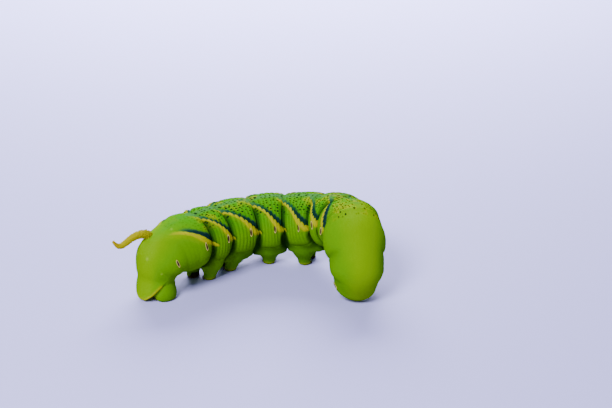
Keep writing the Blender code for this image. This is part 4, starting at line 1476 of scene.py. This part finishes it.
def build_stage(settings):
    """A pale sweep, soft light from the left and over the far floor, and the camera."""
    start = SWEEP_FAR - SWEEP_BEND
    outline = [(SWEEP_NEAR, 0.0), (start, 0.0)]
    outline += [(start + SWEEP_BEND * math.sin(a), SWEEP_BEND - SWEEP_BEND * math.cos(a))
                for a in np.radians(np.arange(6, 91, 6))]
    outline.append((SWEEP_FAR, SWEEP_HIGH))
    points = [(x, y, z) for y, z in outline for x in (-SWEEP_HALF_WIDTH, SWEEP_HALF_WIDTH)]
    faces = [(2 * k, 2 * k + 1, 2 * k + 3, 2 * k + 2) for k in range(len(outline) - 1)]
    mesh = bpy.data.meshes.new("sweep")
    mesh.from_pydata(points, [], faces)
    mesh.shade_smooth()
    mesh.materials.append(floor_finish(settings))
    sweep = bpy.data.objects.new("sweep", mesh)
    bpy.context.scene.collection.objects.link(sweep)
    add_light(KEY_LIGHT, settings.key)
    add_light(BACK_LIGHT, settings.back)
    world = bpy.data.worlds.new("studio")
    world.use_nodes = True
    background = world.node_tree.nodes["Background"]
    background.inputs["Color"].default_value = SKY_COLOUR
    background.inputs["Strength"].default_value = settings.sky
    bpy.context.scene.world = world
    camera = bpy.data.objects.new("camera", bpy.data.cameras.new("camera"))
    camera.data.lens = settings.lens
    camera.data.sensor_width = CAMERA_SENSOR
    camera.data.clip_start, camera.data.clip_end = CAMERA_CLIP
    camera.location = CAMERA_PLACE
    camera.rotation_euler = (math.radians(CAMERA_TILT), 0.0, 0.0)
    bpy.context.scene.collection.objects.link(camera)
    bpy.context.scene.camera = camera


def add_light(light, power):
    lamp = bpy.data.lights.new(light.name, "AREA")
    lamp.shape = "DISK"
    lamp.size = light.size
    lamp.energy = power
    lamp.color = light.colour
    holder = bpy.data.objects.new(light.name, lamp)
    holder.location = light.place
    way = Vector(light.aim) - Vector(light.place)
    holder.rotation_euler = way.to_track_quat("-Z", "Y").to_euler()
    bpy.context.scene.collection.objects.link(holder)


def floor_finish(settings):
    f = Finish("pale_floor", roughness=0.7, gloss=0.2)
    colour = f.mix(f.noise(0.02) * 0.3 + 0.5, settings.floor, tuple(c * 0.985 for c in settings.floor))
    return f.use(Base_Color=colour)


# Operators and panel

def larva(context):
    return context.scene.larva


class LARVA_OT_skin(bpy.types.Operator):
    """Build the skin over the body, prolegs, claspers and anal plate"""
    bl_idname = "larva.skin"
    bl_label = "Skin"

    def execute(self, context):
        build_skin(larva(context).skin)
        return {"FINISHED"}


class LARVA_OT_spiracles(bpy.types.Operator):
    """Set the breathing holes on the skin"""
    bl_idname = "larva.spiracles"
    bl_label = "Breathing holes"

    def execute(self, context):
        build_spiracles(larva(context).spiracles, skin_hunter(bpy.data.objects["skin"]))
        return {"FINISHED"}


class LARVA_OT_horn(bpy.types.Operator):
    """Build the rough tail horn"""
    bl_idname = "larva.horn"
    bl_label = "Horn"

    def execute(self, context):
        build_horn(larva(context).horn)
        return {"FINISHED"}


class LARVA_OT_head(bpy.types.Operator):
    """Build the head capsule with its small eyes"""
    bl_idname = "larva.head"
    bl_label = "Head"

    def execute(self, context):
        build_head(larva(context).head)
        return {"FINISHED"}


class LARVA_OT_mouth(bpy.types.Operator):
    """Build the jaws, lip, palps and feelers"""
    bl_idname = "larva.mouth"
    bl_label = "Mouth parts"

    def execute(self, context):
        build_mouth(larva(context).head)
        return {"FINISHED"}


class LARVA_OT_legs(bpy.types.Operator):
    """Build the six thoracic legs and their claws"""
    bl_idname = "larva.legs"
    bl_label = "Thoracic legs"

    def execute(self, context):
        build_legs(larva(context).legs)
        return {"FINISHED"}


class LARVA_OT_hooks(bpy.types.Operator):
    """Set the hooks on the soles of the prolegs and claspers"""
    bl_idname = "larva.hooks"
    bl_label = "Foot hooks"

    def execute(self, context):
        build_hooks(larva(context).legs)
        return {"FINISHED"}


class LARVA_OT_bristles(bpy.types.Operator):
    """Set sparse pale bristles on the head"""
    bl_idname = "larva.bristles"
    bl_label = "Bristles"

    def execute(self, context):
        build_bristles(larva(context).bristles)
        return {"FINISHED"}


class LARVA_OT_stage(bpy.types.Operator):
    """Build the pale sweep, the lights and the camera"""
    bl_idname = "larva.stage"
    bl_label = "Stage"

    def execute(self, context):
        build_stage(larva(context).stage)
        return {"FINISHED"}


OPERATORS = (LARVA_OT_skin, LARVA_OT_spiracles, LARVA_OT_horn, LARVA_OT_head, LARVA_OT_mouth,
             LARVA_OT_legs, LARVA_OT_hooks, LARVA_OT_bristles, LARVA_OT_stage)


class LARVA_PT_sidebar(bpy.types.Panel):
    bl_label = "Hawkmoth larva"
    bl_idname = "LARVA_PT_sidebar"
    bl_space_type = "VIEW_3D"
    bl_region_type = "UI"
    bl_category = "Larva"

    def draw(self, context):
        for operator in OPERATORS:
            self.layout.operator(operator.bl_idname)


SETTINGS = (SkinSettings, SpiracleSettings, HornSettings, HeadSettings, LegSettings,
            BristleSettings, StageSettings, LarvaSettings)
CLASSES = SETTINGS + OPERATORS + (LARVA_PT_sidebar,)


def register():
    for cls in CLASSES:
        bpy.utils.register_class(cls)
    bpy.types.Scene.larva = PointerProperty(type=LarvaSettings)


def unregister():
    del bpy.types.Scene.larva
    for cls in reversed(CLASSES):
        bpy.utils.unregister_class(cls)


def main():
    register()
    bpy.ops.larva.skin()
    bpy.ops.larva.spiracles()
    bpy.ops.larva.horn()
    bpy.ops.larva.head()
    bpy.ops.larva.mouth()
    bpy.ops.larva.legs()
    bpy.ops.larva.hooks()
    bpy.ops.larva.bristles()
    bpy.ops.larva.stage()


if __name__ == "__main__":
    main()
